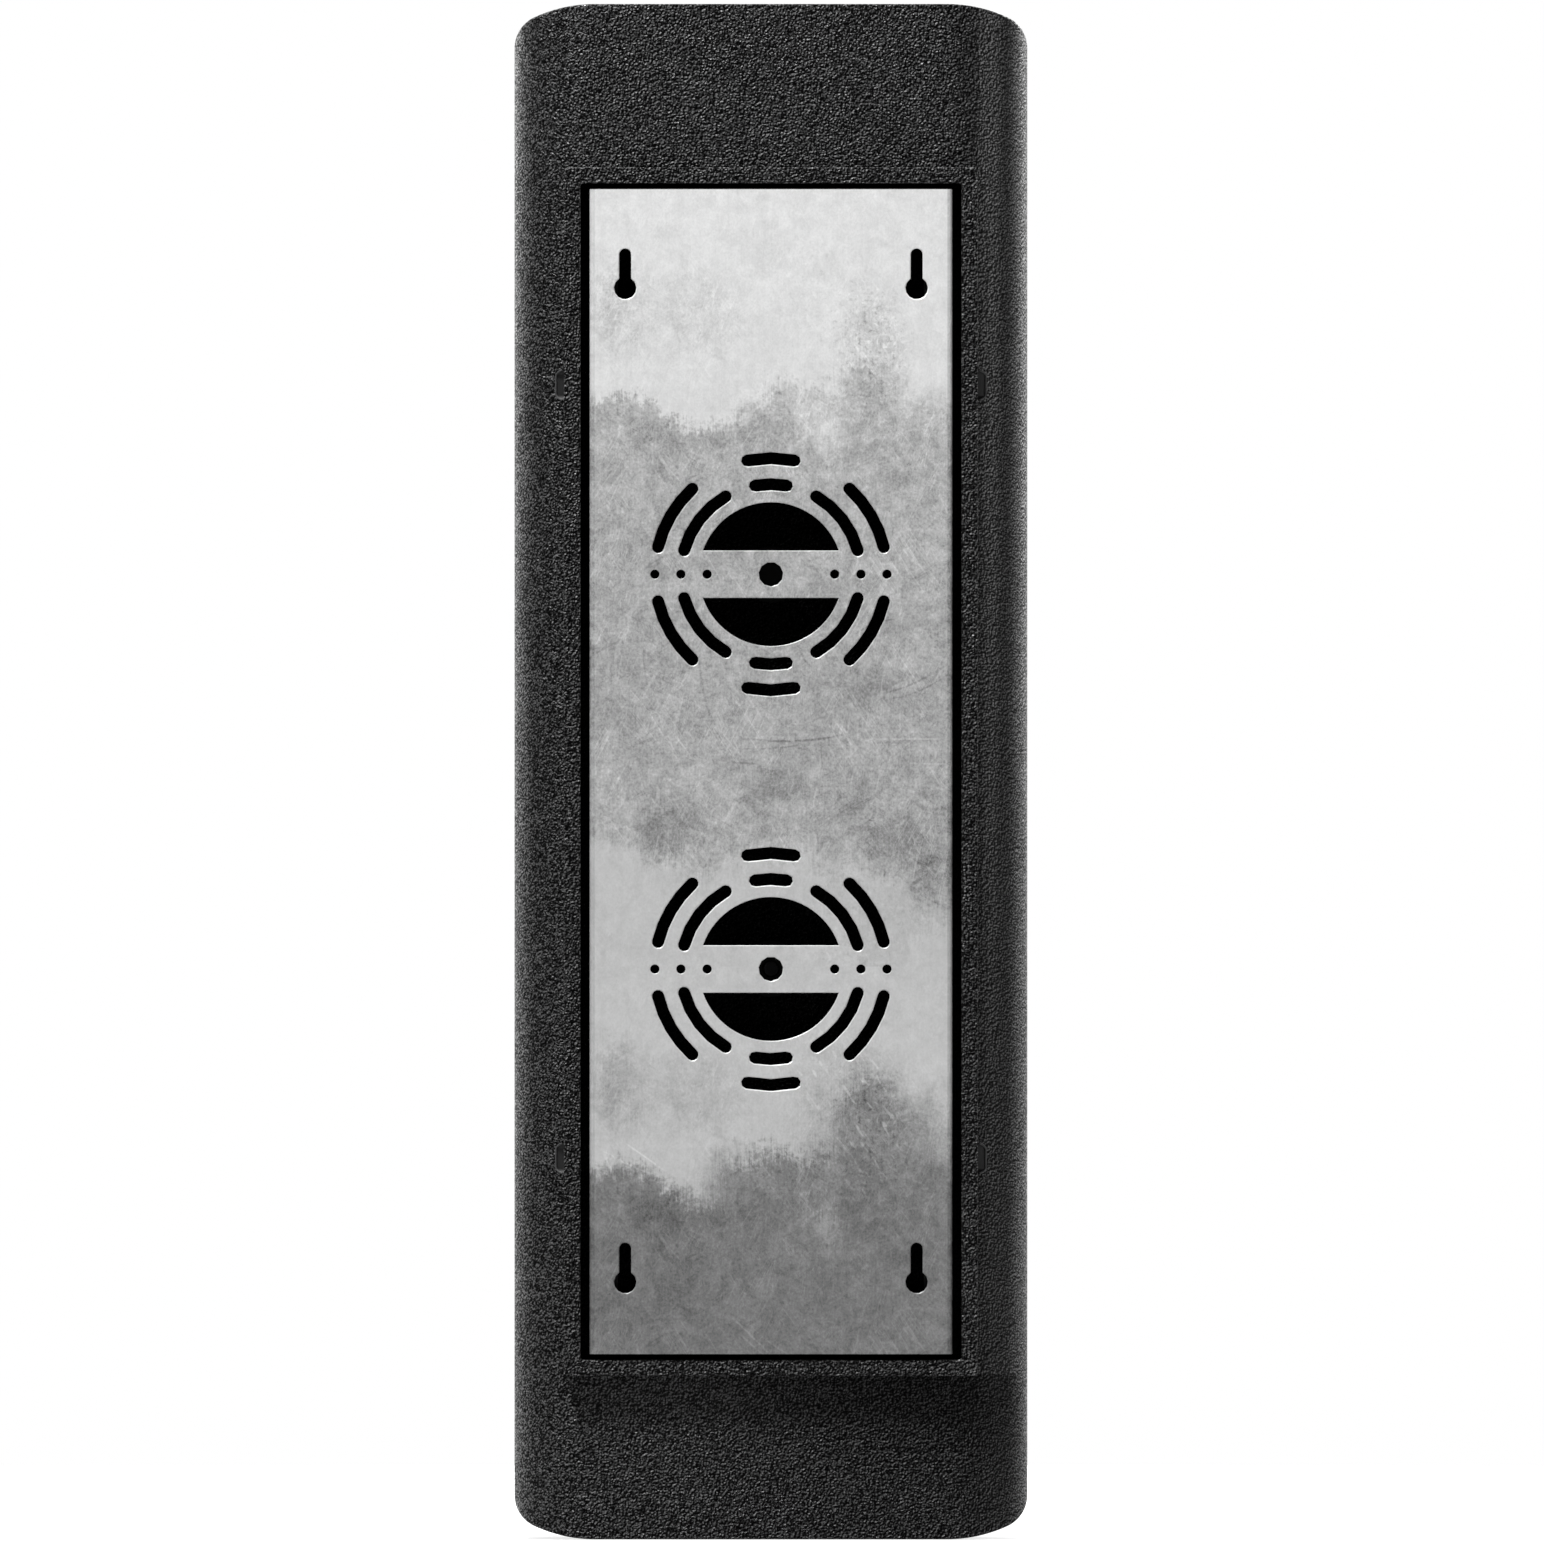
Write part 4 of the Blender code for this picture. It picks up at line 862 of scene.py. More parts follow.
def rounded_profile(points, radius, steps=4):
    """A closed profile with rounded corners; radius is one number, or one per corner."""
    out = []
    for i, point in enumerate(points):
        wanted = radius[i] if isinstance(radius, list) else radius
        corner = Vector(point)
        before, after = Vector(points[i - 1]), Vector(points[(i + 1) % len(points)])
        to_before, to_after = before - corner, after - corner
        on_axis = corner.x < 1e-9 and (before.x < 1e-9 or after.x < 1e-9)
        if wanted <= 0 or on_axis:
            out.append(tuple(corner))
            continue
        half = to_before.angle(to_after) / 2
        reach = min(wanted / math.tan(half), to_before.length * 0.49, to_after.length * 0.49)
        fitted = reach * math.tan(half)
        middle = (to_before.normalized() + to_after.normalized()).normalized()
        centre = corner + middle * (fitted / math.sin(half))
        start = corner + to_before.normalized() * reach - centre
        end = corner + to_after.normalized() * reach - centre
        turn = start.angle_signed(end)
        for k in range(steps + 1):
            cos, sin = math.cos(-turn * k / steps), math.sin(-turn * k / steps)
            out.append((centre.x + start.x * cos - start.y * sin,
                        centre.y + start.x * sin + start.y * cos))
    return out


def turned(name, mat, profile, radii, segs, centre, plane="XZ"):
    """A lathed piece with rounded corners."""
    return piece(name, mat, lathe, rounded_profile(profile, radii), segs, centre, plane)


# ---------------------------------------------------------------- outlines
def circle(x, z, radius, count, turn=0.0):
    angles = [2 * math.pi * (k + turn) / count for k in range(count)]
    return [(x + radius * math.cos(t), z + radius * math.sin(t)) for t in angles]


def rounded_rect(half_w, half_h, radius, steps, x=0.0, z=0.0):
    right, left = x + half_w - radius, x - half_w + radius
    top, bottom = z + half_h - radius, z - half_h + radius
    points = []
    corners = ((right, bottom, -90), (right, top, 0), (left, top, 90), (left, bottom, 180))
    for corner_x, corner_z, start in corners:
        for k in range(steps + 1):
            t = math.radians(start + 90 * k / steps)
            points.append((corner_x + radius * math.cos(t), corner_z + radius * math.sin(t)))
    return points


def arc_slot(z, ring, start, end, steps, cap_steps):
    """A slot bent along a ring, with round ends; angles in degrees."""
    def arc(radius, first, last):
        angles = [math.radians(first + (last - first) * k / steps) for k in range(steps + 1)]
        return [(radius * math.cos(t), z + radius * math.sin(t)) for t in angles]

    def cap(degrees, turn):
        t = math.radians(degrees)
        end_x, end_z = ring * math.cos(t), z + ring * math.sin(t)
        angles = [t + math.radians(turn + 180 * k / cap_steps) for k in range(1, cap_steps)]
        return [(end_x + ARC_HALF * math.cos(a), end_z + ARC_HALF * math.sin(a)) for a in angles]

    return (arc(ring + ARC_HALF, start, end) + cap(end, 0)
            + arc(ring - ARC_HALF, end, start) + cap(start, 180))


def grown(loop, distance):
    """The outline moved out by a distance, corner by corner."""
    pairs = zip(loop, loop[1:] + loop[:1])
    sign = 1 if sum(a[0] * b[1] - b[0] * a[1] for a, b in pairs) > 0 else -1
    out = []
    for i, point in enumerate(loop):
        here, before = Vector(point), Vector(loop[i - 1])
        after = Vector(loop[(i + 1) % len(loop)])
        edge_in, edge_out = (here - before).normalized(), (after - here).normalized()
        push = Vector((edge_in.y, -edge_in.x)) * sign + Vector((edge_out.y, -edge_out.x)) * sign
        push = push / max(push.dot(push) / 2, 0.35)
        out.append((here.x + push.x * distance, here.y + push.y * distance))
    return out


def soft_hole(shape, loop, edge):
    """A cutter through the sheet whose face is at y = 0, with a broken edge."""
    stations = [(1.0, edge), (0.0, edge), (-edge, 0.0), (-4.0, 0.0)]
    loft(shape, [at_depth(grown(loop, out), y) for y, out in stations])


def at_depth(outline, y):
    return [(x, y, z) for x, z in outline]


def mirrored(right):
    return right + [(-x, z) for x, z in reversed(right)]


def crown_quarter(inset, crown_steps, edge_steps):
    """Top right quarter of the housing outline: the crown arc, then the tighter corner."""
    lean = math.radians(CROWN_DEG)
    crown_z = HALF_H - CROWN_R
    corner_x = ARC_X + (CROWN_R - EDGE_R) * math.sin(lean)
    corner_z = crown_z + (CROWN_R - EDGE_R) * math.cos(lean)
    points = []
    for k in range(crown_steps + 1):
        t = lean * k / crown_steps
        points.append((ARC_X + (CROWN_R - inset) * math.sin(t),
                       crown_z + (CROWN_R - inset) * math.cos(t)))
    for k in range(1, edge_steps + 1):
        t = lean + (math.pi / 2 - lean) * k / edge_steps
        points.append((corner_x + (EDGE_R - inset) * math.sin(t),
                       corner_z + (EDGE_R - inset) * math.cos(t)))
    return points


def body_outline(inset, crown_steps=12, edge_steps=16):
    quarter = crown_quarter(inset, crown_steps, edge_steps)
    return mirrored(quarter + [(x, -z) for x, z in reversed(quarter)])


def plan_y(x):
    """y of the housing's back at a given x."""
    past = abs(x) - ARC_X
    if past <= 0:
        return BACK_Y
    return BACK_Y - BACK_R + math.sqrt(max(BACK_R ** 2 - past ** 2, 0.0))


def plan_outline(inset, steps=16):
    """Plan of the rounded back, open well past the sides and front."""
    radius, y0 = BACK_R - inset, BACK_Y - BACK_R
    angles = [math.pi / 2 * k / steps for k in range(steps + 1)]
    arc = [(ARC_X + radius * math.sin(t), y0 + radius * math.cos(t)) for t in angles]
    return mirrored(arc + [(170.0, y0 - 1.0), (170.0, -130.0)])


def door_outline(z0, z1, inset, crown, steps=8):
    """Door outline; crown is 1 or -1 where its top or bottom follows the housing."""
    radius = 6.0 - inset
    side = DOOR_HALF_W - inset - radius
    angles = [math.pi / 2 * k / steps for k in range(steps + 1)]
    plain = [(side + radius * math.sin(t), radius * math.cos(t) - radius) for t in angles]
    top = [(x, z1 - inset + dz) for x, dz in plain]
    bottom = [(x, z0 + inset - dz) for x, dz in plain]
    if crown > 0:
        top = crown_quarter(SHOULDER + inset, 8, 12)
    if crown < 0:
        bottom = [(x, -z) for x, z in crown_quarter(SHOULDER + inset, 8, 12)]
    return mirrored(top + list(reversed(bottom)))


def knuckle(shape, side, start, end):
    """A bored hinge barrel with a tail; side is 1 for the housing's, -1 for a door's."""
    angles = [math.radians(side * a) for a in range(90, 361, 15)]
    arc = [(HINGE_X + BARREL_R * math.cos(a), HINGE_Y + BARREL_R * math.sin(a)) for a in angles]
    tail_x = HINGE_X + 8.0
    outline = [(tail_x, HINGE_Y + side * BARREL_R), *arc, (tail_x, HINGE_Y + side * 0.6)]
    bore = circle(HINGE_X, HINGE_Y, 2.5, 16, 0.5)
    prism(shape, [outline, bore], start, end, plane="XY")


# ---------------------------------------------------------------- housing
def housing_skin(shape):
    edge = 1.1
    rings = []
    for k in range(6):
        t = math.pi / 2 * k / 5
        inset, drop = edge * (1 - math.sin(t)), edge * (1 - math.cos(t))
        rings.append([(x, plan_y(x) - drop, z) for x, z in body_outline(inset)])
    rings.append(at_depth(body_outline(0.0), SHOULDER_Y))
    for k in range(1, 11):
        t = math.pi / 2 * k / 10
        outline = body_outline(SHOULDER * (1 - math.cos(t)))
        rings.append(at_depth(outline, SHOULDER_Y - SHOULDER * math.sin(t)))
    rings.append(at_depth(body_outline(SHOULDER), FRONT_Y))
    made = loft(shape, rings, ends="open")
    shape.faces.new(list(reversed(made[-1])))
    # the curved back is closed in strips from top to bottom
    back, count = made[0], len(made[0]) // 2
    for side in (back[:count], back[count:]):
        for k in range(count // 2 - 1):
            far = count - 1 - k
            shape.faces.new((side[k], side[k + 1], side[far - 1], side[far]))
    shape.faces.new((back[0], back[count - 1], back[count], back[2 * count - 1]))


def back_pad(shape):
    """The raised pad, its outer edge rounded."""
    corner, edge = 2.6, 0.7
    rings = [at_depth(rounded_rect(PAD_W, PAD_H, corner, 6), -24.0)]
    for k in range(6):
        t = math.pi / 2 * k / 5
        inset = edge * (1 - math.cos(t))
        outline = rounded_rect(PAD_W - inset, PAD_H - inset, max(corner - inset, 0.3), 6)
        rings.append(at_depth(outline, PAD_Y - edge + edge * math.sin(t)))
    loft(shape, rings)


def housing_cavity():
    """The hollow, less the walls round the recess, strap slots and stud bosses."""
    stations = (
        (6.0, WALL), (SHOULDER_Y + 1, WALL), (SHOULDER_Y - 7, WALL + SHOULDER),
        (FRONT_Y + WALL, WALL + SHOULDER),
    )
    cavity = piece("cavity", None, loft,
                   [at_depth(body_outline(inset, 6, 8), y) for y, inset in stations])
    cut(cavity, tool(prism, [plan_outline(WALL)], -430, 430, plane="XY"), "INTERSECT")
    recess_wall = rounded_rect(RECESS_W + WALL, RECESS_H + WALL, 4.0, 4)
    cut(cavity, tool(prism, [recess_wall], 8.0, RECESS_Y - 3.4))
    block = [(106.0, -12.4), (112.0, -12.9), (118.0, -15.7), (121.5, -18.0), (121.5, -21.5),
             (106.0, -21.5)]
    for sx in (1, -1):
        for sz in (1, -1):
            outline = [(sx * x, y) for x, y in block]
            z = sz * BAND_Z
            cut(cavity, tool(prism, [outline], z - 13, z + 13, plane="XY"))
    for _, z_mid in FIELDS:
        for dz in (STUD, -STUD):
            cut(cavity, tool(drum, 6.5, FRONT_Y + 1.2, -103.0, 24, STUD, z_mid + dz))
    return cavity


def recess(shape):
    stations = ((4.0, 0.7), (PAD_Y, 0.7), (PAD_Y - 0.1, 0.4), (PAD_Y - 0.35, 0.12),
                (PAD_Y - 0.7, 0.0), (RECESS_Y, 0.0))
    loft(shape, [at_depth(rounded_rect(RECESS_W + out, RECESS_H + out, 1.5 + out, 5), y)
                 for y, out in stations])


def strap_slots(shape):
    for sx in (1, -1):
        for sz in (1, -1):
            outline = rounded_rect(BAND_HALF_Y, BAND_HALF, BAND_CORNER, 8,
                                   BAND_MID_Y, sz * BAND_Z)
            prism(shape, [outline], *sorted((sx * 101.0, sx * 126.0)), plane="YZ")


def housing_holes(shape):
    """Grommet, plate screw and drain holes, door windows and stud holes."""
    for z in (RING_Z, -RING_Z):
        drum(shape, 12.0, RECESS_Y + 2, RECESS_Y - 6, 32, 0, z)
    for x, z in PLATE_SCREWS:
        drum(shape, 3.0, RECESS_Y + 2, RECESS_Y - 6, 16, x, z)
    low, high = -HALF_H - 3, -HALF_H + 8
    drain = [(0, low), (6.0, low), (6.0, high), (0, high)]
    lathe(shape, drain, 24, (0, DRAIN_Y, 0), plane="XY")
    for _, z_mid in FIELDS:
        window = rounded_rect(117, 117, 50.0, 12, z=z_mid)
        prism(shape, [window], FRONT_Y - 2, FRONT_Y + WALL + 2)
        for dz in (STUD, -STUD):
            drum(shape, 3.2, FRONT_Y - 2, -101.0, 20, STUD, z_mid + dz)


def housing_knuckles(shape):
    for _, z_mid in FIELDS:
        for dz in (HINGE_DZ, -HINGE_DZ):
            for start, end in ((10.5, 20.5), (-20.5, -10.5)):
                knuckle(shape, 1, z_mid + dz + start, z_mid + dz + end)


def build_housing():
    housing = piece("housing_shell", GRAIN, housing_skin)
    cut(housing, tool(back_pad), "UNION")
    cut(housing, housing_cavity())
    cut(housing, tool(recess))
    cut(housing, piece("tool", SLOT, strap_slots))
    cut(housing, tool(housing_holes))
    cut(housing, tool(housing_knuckles), "UNION")
    dress(housing, "housing", "grained_polycarbonate", "housing")


def slot_lips(shape):
    """A thin bead round the open side of each strap slot, on the rounded back corner."""
    bead = 0.55
    limit = plan_y(PAD_W) + 0.02
    front_y = BAND_MID_Y - BAND_HALF_Y
    outline = rounded_rect(BAND_HALF_Y, BAND_HALF, BAND_CORNER, 10, BAND_MID_Y)
    path = [(y, z) for y, z in outline if y < limit]
    path += [(front_y, z * 0.6) for z in (-7, -4, -1, 2, 5, 8)]
    path.sort(key=lambda point: math.atan2(point[1], -(point[0] + 9.0)))
    for sx in (1, -1):
        for sz in (1, -1):
            rail = []
            for y, z in path:
                reach_y = y - BACK_Y + BACK_R
                reach_x = math.sqrt(max(BACK_R ** 2 - reach_y ** 2, 0.0))
                out = Vector((sx * reach_x, reach_y, 0.0)).normalized()
                rail.append((Vector((sx * (ARC_X + reach_x), y, sz * BAND_Z + z)), out))
            rings = []
            for i, (point, out) in enumerate(rail):
                after, before = rail[min(i + 1, len(rail) - 1)][0], rail[max(i - 1, 0)][0]
                along = (after - before).normalized()
                side = along.cross(out).normalized()
                up = side.cross(along).normalized()
                angles = [2 * math.pi * k / 8 for k in range(8)]
                rings.append([tuple(point + side * bead * math.cos(a) + up * bead * math.sin(a))
                              for a in angles])
            loft(shape, rings)


# ---------------------------------------------------------------- mounting plate
def channel(inset, bend, steps=8):
    """Half of the plate's section in plan: face, bent flank and return lip."""
    side, depth = PLATE_W - inset, PLATE_D - inset
    points = [(0.0, -inset)]
    for x, y, start in ((side - bend, -inset - bend, 90), (side - bend, -depth + bend, 0)):
        for k in range(steps + 1):
            t = math.radians(start - 90 * k / steps)
            points.append((x + bend * math.cos(t), y + bend * math.sin(t)))
    return points + [(84.0, -depth)]


def screw_bosses(shape):
    profile = [(0, -28.6), (5.4, -28.6), (5.4, -24.4), (4.6, -23.6), (0, -23.6)]
    for x, z in PLATE_SCREWS:
        lathe(shape, profile, 6, (x, 0, z))


def screw_holes(shape):
    for x, z in PLATE_SCREWS:
        drum(shape, 3.0, -33.0, -20.0, 20, x, z)


def keyhole(x, z):
    gap = math.asin(KEY_SLOT / KEY_R)
    loop = []
    for k in range(12):
        t = math.pi / 2 + gap + (2 * math.pi - 2 * gap) * k / 11
        loop.append((x + KEY_R * math.cos(t), z + KEY_R * math.sin(t)))
    for k in range(9):
        t = math.pi * k / 8
        loop.append((x + KEY_SLOT * math.cos(t), z + KEY_RUN + KEY_SLOT * math.sin(t)))
    return loop


def hole_rings(shape, z):
    """Round holes, two large segments and two rings of bent slots about one centre."""
    soft_hole(shape, circle(0, z, 6.75, 11, 0.25), 0.35)
    for radius in (35.0, 49.4, 63.7):
        for x in (radius, -radius):
            soft_hole(shape, circle(x, z, 2.55, 16), 0.25)
    segment = 39.5
    start = math.asin(13.0 / segment)
    for side in (1, -1):
        angles = [side * (start + (math.pi - 2 * start) * k / 28) for k in range(29)]
        soft_hole(shape, [(segment * math.cos(t), z + segment * math.sin(t)) for t in angles],
                  0.35)
    # ring radius, start and end of a quarter's slot, half-span of the top slot, in degrees
    for ring, a0, a1, top in ((49.4, 15.4, 59.8, 10.2), (63.7, 13.5, 47.4, 11.8)):
        quarters = ((a0, a1), (180 - a1, 180 - a0), (180 + a0, 180 + a1), (360 - a1, 360 - a0))
        for low, high in quarters:
            soft_hole(shape, arc_slot(z, ring, low, high, 4, 6), 0.5)
        for middle in (90, 270):
            soft_hole(shape, arc_slot(z, ring, middle - top, middle + top, 2, 4), 0.5)


def plate_openings(shape):
    for x in (-KEY_X, KEY_X):
        for z in KEY_Z:
            soft_hole(shape, keyhole(x, z), 0.5)
    for z in (RING_Z, -RING_Z):
        hole_rings(shape, z)


def build_plate():
    outer, inner = channel(0.0, 2.8), channel(PLATE_T, 0.8)
    section = mirrored(outer[1:] + list(reversed(inner))[:-1])
    plate = piece("galvanised_plate", ZINC, prism, [section], -PLATE_H, PLATE_H, plane="XY")
    cut(plate, tool(screw_bosses), "UNION")
    cut(plate, tool(screw_holes))
    cut(plate, tool(plate_openings))
    dress(plate, "housing", "galvanised_steel", "mounting_plate")


# ---------------------------------------------------------------- symbols
def capsule(x0, z0, x1, z1, start_r, end_r, steps=12):
    """A limb with round ends, from one joint to the other."""
    lean = math.atan2(z1 - z0, x1 - x0)
    points = []
    for x, z, radius, start in ((x1, z1, end_r, -math.pi / 2), (x0, z0, start_r, math.pi / 2)):
        for k in range(steps + 1):
            t = lean + start + math.pi * k / steps
            points.append((x + radius * math.cos(t), z + radius * math.sin(t)))
    return points


def seven_segment(mid_x, shrink=0.0):
    """The seven bars of one digit."""
    w, h = 25.0, 24.0
    half, gap = 5.6 - shrink, 1.6 + shrink
    bars = []
    for z in (2 * h, 0, -2 * h):
        x0, x1 = mid_x - w + gap, mid_x + w - gap
        bars.append([(x0, z), (x0 + half, z - half), (x1 - half, z - half), (x1, z),
                     (x1 - half, z + half), (x0 + half, z + half)])
    for side, low, high in ((-w, 0, 2 * h), (w, 0, 2 * h), (-w, -2 * h, 0), (w, -2 * h, 0)):
        x, z0, z1 = mid_x + side, low + gap, high - gap
        bars.append([(x, z0), (x + half, z0 + half), (x + half, z1 - half), (x, z1),
                     (x - half, z1 - half), (x - half, z0 + half)])
    return bars


DIGIT_X = 37.0
HEAD_R = 12.0
# openings of each symbol mask, about the middle of its field
SYMBOL = {
    "red": [
        circle(0, 57, HEAD_R, 40, 0.3),
        [(-25, 33), (-20, 39), (20, 39), (25, 33), (17, 24), (15, -12), (-15, -12), (-17, 24)],
        capsule(-26, 32, -27, -8, 5.6, 4.8), capsule(26, 32, 27, -8, 5.6, 4.8),
        capsule(-8.6, -8, -8.0, -70, 7.6, 6.0), capsule(8.6, -8, 8.0, -70, 7.6, 6.0),
    ],
    "count": seven_segment(-DIGIT_X) + seven_segment(DIGIT_X),
    "green": [
        circle(5, 58, HEAD_R, 40, 0.3),
        capsule(3, 31, -2, -4, 12.0, 9.5),
        capsule(3, 33, -20, 10, 5.6, 5.0), capsule(-20, 10, -29, -12, 5.0, 4.4),
        capsule(6, 33, 24, 12, 5.6, 5.0), capsule(24, 12, 40, 4, 5.0, 4.4),
        capsule(-1, -6, 17, -36, 9.0, 7.0), capsule(17, -36, 30, -68, 7.0, 5.4),
        capsule(-3, -6, -12, -38, 9.0, 7.0), capsule(-12, -38, -34, -66, 7.0, 5.4),
    ],
}
# bottom and top of each door, and which end follows the crown
SPAN = {
    "red": (PITCH / 2 + DOOR_GAP / 2, RIM_HALF_H, 1),
    "count": (-PITCH / 2 + DOOR_GAP / 2, PITCH / 2 - DOOR_GAP / 2, 0),
    "green": (-RIM_HALF_H, -PITCH / 2 - DOOR_GAP / 2, -1),
}


# ---------------------------------------------------------------- doors and what they carry
def door_block(shape, field):
    z0, z1, crown = SPAN[field]
    stations = [(DOOR_BACK, 0.8), (DOOR_BACK - 0.25, 0.25), (DOOR_BACK - 0.9, 0.0)]
    edge = 5
    for k in range(9):
        t = math.pi / 2 * k / 8
        stations.append((DOOR_FRONT + edge - edge * math.sin(t), edge * (1 - math.cos(t))))
    loft(shape, [at_depth(door_outline(z0, z1, inset, crown), y) for y, inset in stations])


def door_openings(shape, z_mid):
    """Lens opening, gasket groove and countersunk stud holes."""
    opening = [(0, -130.0), (100.0, -130.0), (100.0, -147.0), (100.5, -147.9),
               (101.4, -148.4), (101.4, -152.0), (0, -152.0)]
    lathe(shape, opening, SEGS, (0, 0, z_mid), turn=0.37)
    groove = [rounded_rect(122.3, 122.3, 56.3, 12, z=z_mid),
              rounded_rect(117.7, 117.7, 51.7, 12, z=z_mid)]
    prism(shape, groove, DOOR_BACK + 3, -122.6)
    stud_hole = [(0, -115.0), (3.2, -115.0), (3.2, -137.0), (7.0, -137.0), (7.0, -141.3),
                 (7.25, -141.8), (7.8, -142.0), (7.8, -146.0), (0, -146.0)]
    for dz in (STUD, -STUD):
        lathe(shape, stud_hole, 32, (STUD, 0, z_mid + dz))


def door_knuckles(shape, z_mid):
    for dz in (HINGE_DZ, -HINGE_DZ):
        knuckle(shape, -1, z_mid + dz - 10, z_mid + dz + 10)


def build_door(field, z_mid):
    door = piece(f"{field}_door_cover", GRAIN, door_block, field)
    collar = [(97.0, -140.0), (112.4, -140.0), (112.4, -148.4), (97.0, -148.4)]
    collar = rounded_profile(collar, [0, 0, 1.4, 0])
    cut(door, tool(lathe, collar, SEGS, (0, 0, z_mid)), "UNION")
    hollow = rounded_rect(115, 115, 49.0, 12, z=z_mid)
    cut(door, tool(prism, [hollow], DOOR_BACK + 3, -139.0))
    cut(door, tool(door_openings, z_mid))
    cut(door, tool(door_knuckles, z_mid), "UNION")
    on_door(door, field, "grained_polycarbonate", "door")


def build_gasket(field, z_mid):
    stations = ((-118.3, 0.6), (-119.2, 0.0), (-122.3, 0.0))

    def ring(half, radius, y):
        return at_depth(rounded_rect(half, half, radius, 12, z=z_mid), y)

    outer = [ring(121.9 - inset, 55.9 - inset, y) for y, inset in stations]
    inner = [ring(118.1 + inset, 52.1 + inset, y) for y, inset in reversed(stations)]
    gasket = piece(f"{field}_door_gasket", RUBBER, loft, outer + inner, ends="joined")
    on_door(gasket, field, "epdm_rubber", "door_seal")


def build_visor(field, z_mid):
    """Flange, root fillet and thin hood, long at the top and short at the bottom."""
    root_y, flange_y, inner_r, outer_r = -142.3, -145.2, 113.0, 115.8
    columns = []
    for k in range(VISOR_SEGS):
        t = 2 * math.pi * k / VISOR_SEGS
        reach = 14.0 + 146.0 * (0.5 + 0.5 * math.cos(t)) ** 1.15
        tip = root_y - reach
        profile = [(inner_r, root_y), (124.0, root_y), (124.0, flange_y), (outer_r, flange_y),
                   (outer_r, tip), (inner_r, tip)]
        fillet = 3.0 if reach > 20 else 1.5
        column = []
        for radius, y in rounded_profile(profile, [0.3, 0.6, 1.1, fillet, 1.3, 1.3]):
            drop = max(0.0, flange_y - y) * 0.06
            column.append((radius * math.sin(t), y, z_mid + radius * math.cos(t) - drop))
        columns.append(column)
    hood = piece(f"{field}_visor_hood", FINE, loft, columns, ends="joined", sharp=40.0)
    on_door(hood, field, "black_moulding", "visor")


def build_lens(field, z_mid):
    """Flange and a shallow dome."""
    radius, rise = 98.4, 13.0
    ball = (radius ** 2 + rise ** 2) / (2 * rise)
    radii = [radius * math.cos(math.pi / 2 * k / 14) for k in range(14)] + [0.0]
    dome = [(r, -138.6 - (math.sqrt(ball ** 2 - r ** 2) - (ball - rise))) for r in radii]
    under = [(r * 0.975, y + 2.4) for r, y in reversed(dome)]
    profile = [(106.0, -134.9), (106.0, -137.0), (98.6, -137.0), *dome, *under, (95.9, -134.9)]
    lens = piece(f"{field}_lens_cover", CLEAR, lathe, profile, SEGS, (0, 0, z_mid), sharp=40.0)
    on_door(lens, field, "clear_polycarbonate", "lens", weighted=False)


def build_lens_seal(field, z_mid):
    profile = [(100.8, -137.3), (105.6, -137.3), (105.6, -138.7), (100.8, -138.7)]
    seal = turned(f"{field}_lens_seal", RUBBER, profile, 0.5, SEGS, (0, 0, z_mid))
    on_door(seal, field, "epdm_rubber", "lens_gasket")


def build_mask(field, z_mid):
    disc = circle(0, z_mid, 94.5, SEGS, 0.37)
    openings = [[(x, z_mid + z) for x, z in outline] for outline in SYMBOL[field]]
    # the bars lie apart, so they are plain holes; the figures' limbs overlap and are cut
    holes = openings if field == "count" else []
    mask = piece(f"{field}_mask", BLACK, prism, [disc] + holes, -132.2, -133.4)
    if field != "count":
        for opening in openings:
            cut(mask, tool(prism, [opening], -130.0, -136.0))
    on_door(mask, field, "black_moulding", "symbol_mask", weighted=False)


def build_diffuser(field, z_mid):
    mat, slot = DIFFUSERS[field]
    profile = [(0, -129.4), (94.5, -129.4), (94.5, -131.8), (0, -131.8)]
    plate = turned(f"{field}_diffuser_plate", mat, profile, 0.4, SEGS, (0, 0, z_mid))
    on_door(plate, field, slot, "diffuser", weighted=False)


def build_module(field, z_mid):
    """The can behind the lens."""
    profile = [(108.0, -134.6), (108.0, -131.4), (100.6, -131.4), (98.6, -86.0),
               (88.0, -75.0), (7.0, -75.0), (7.0, -77.6), (86.9, -77.6), (96.0, -87.0),
               (97.8, -134.6)]
    radii = [0.4, 0.4, 1.5, 7.0, 5.0, 0.5, 0.5, 4.0, 5.0, 0.4]
    shell = turned(f"{field}_module_shell", GREY, profile, radii, SEGS, (0, 0, z_mid))
    on_door(shell, field, "grey_polyamide", "module_can")


def module_ribs(shape, z_mid):
    """Ten radial ribs between two rings on the back of the module."""
    foot_y, top_y = -75.02, -73.2
    for k in range(10):
        t = 2 * math.pi * (k + 0.5) / 10
        cos, sin = math.cos(t), math.sin(t)
        corners = ((23.2, -1.1), (79.2, -1.1), (79.2, 1.1), (23.2, 1.1))
        outline = [(r * cos - w * sin, z_mid + r * sin + w * cos) for r, w in corners]
        prism(shape, [outline], foot_y, top_y)
    for r in (20.6, 79.6):
        profile = [(r, foot_y), (r + 2.2, foot_y), (r + 2.2, top_y), (r, top_y)]
        lathe(shape, rounded_profile(profile, [0, 0, 0.5, 0.5]), SEGS, (0, 0, z_mid))


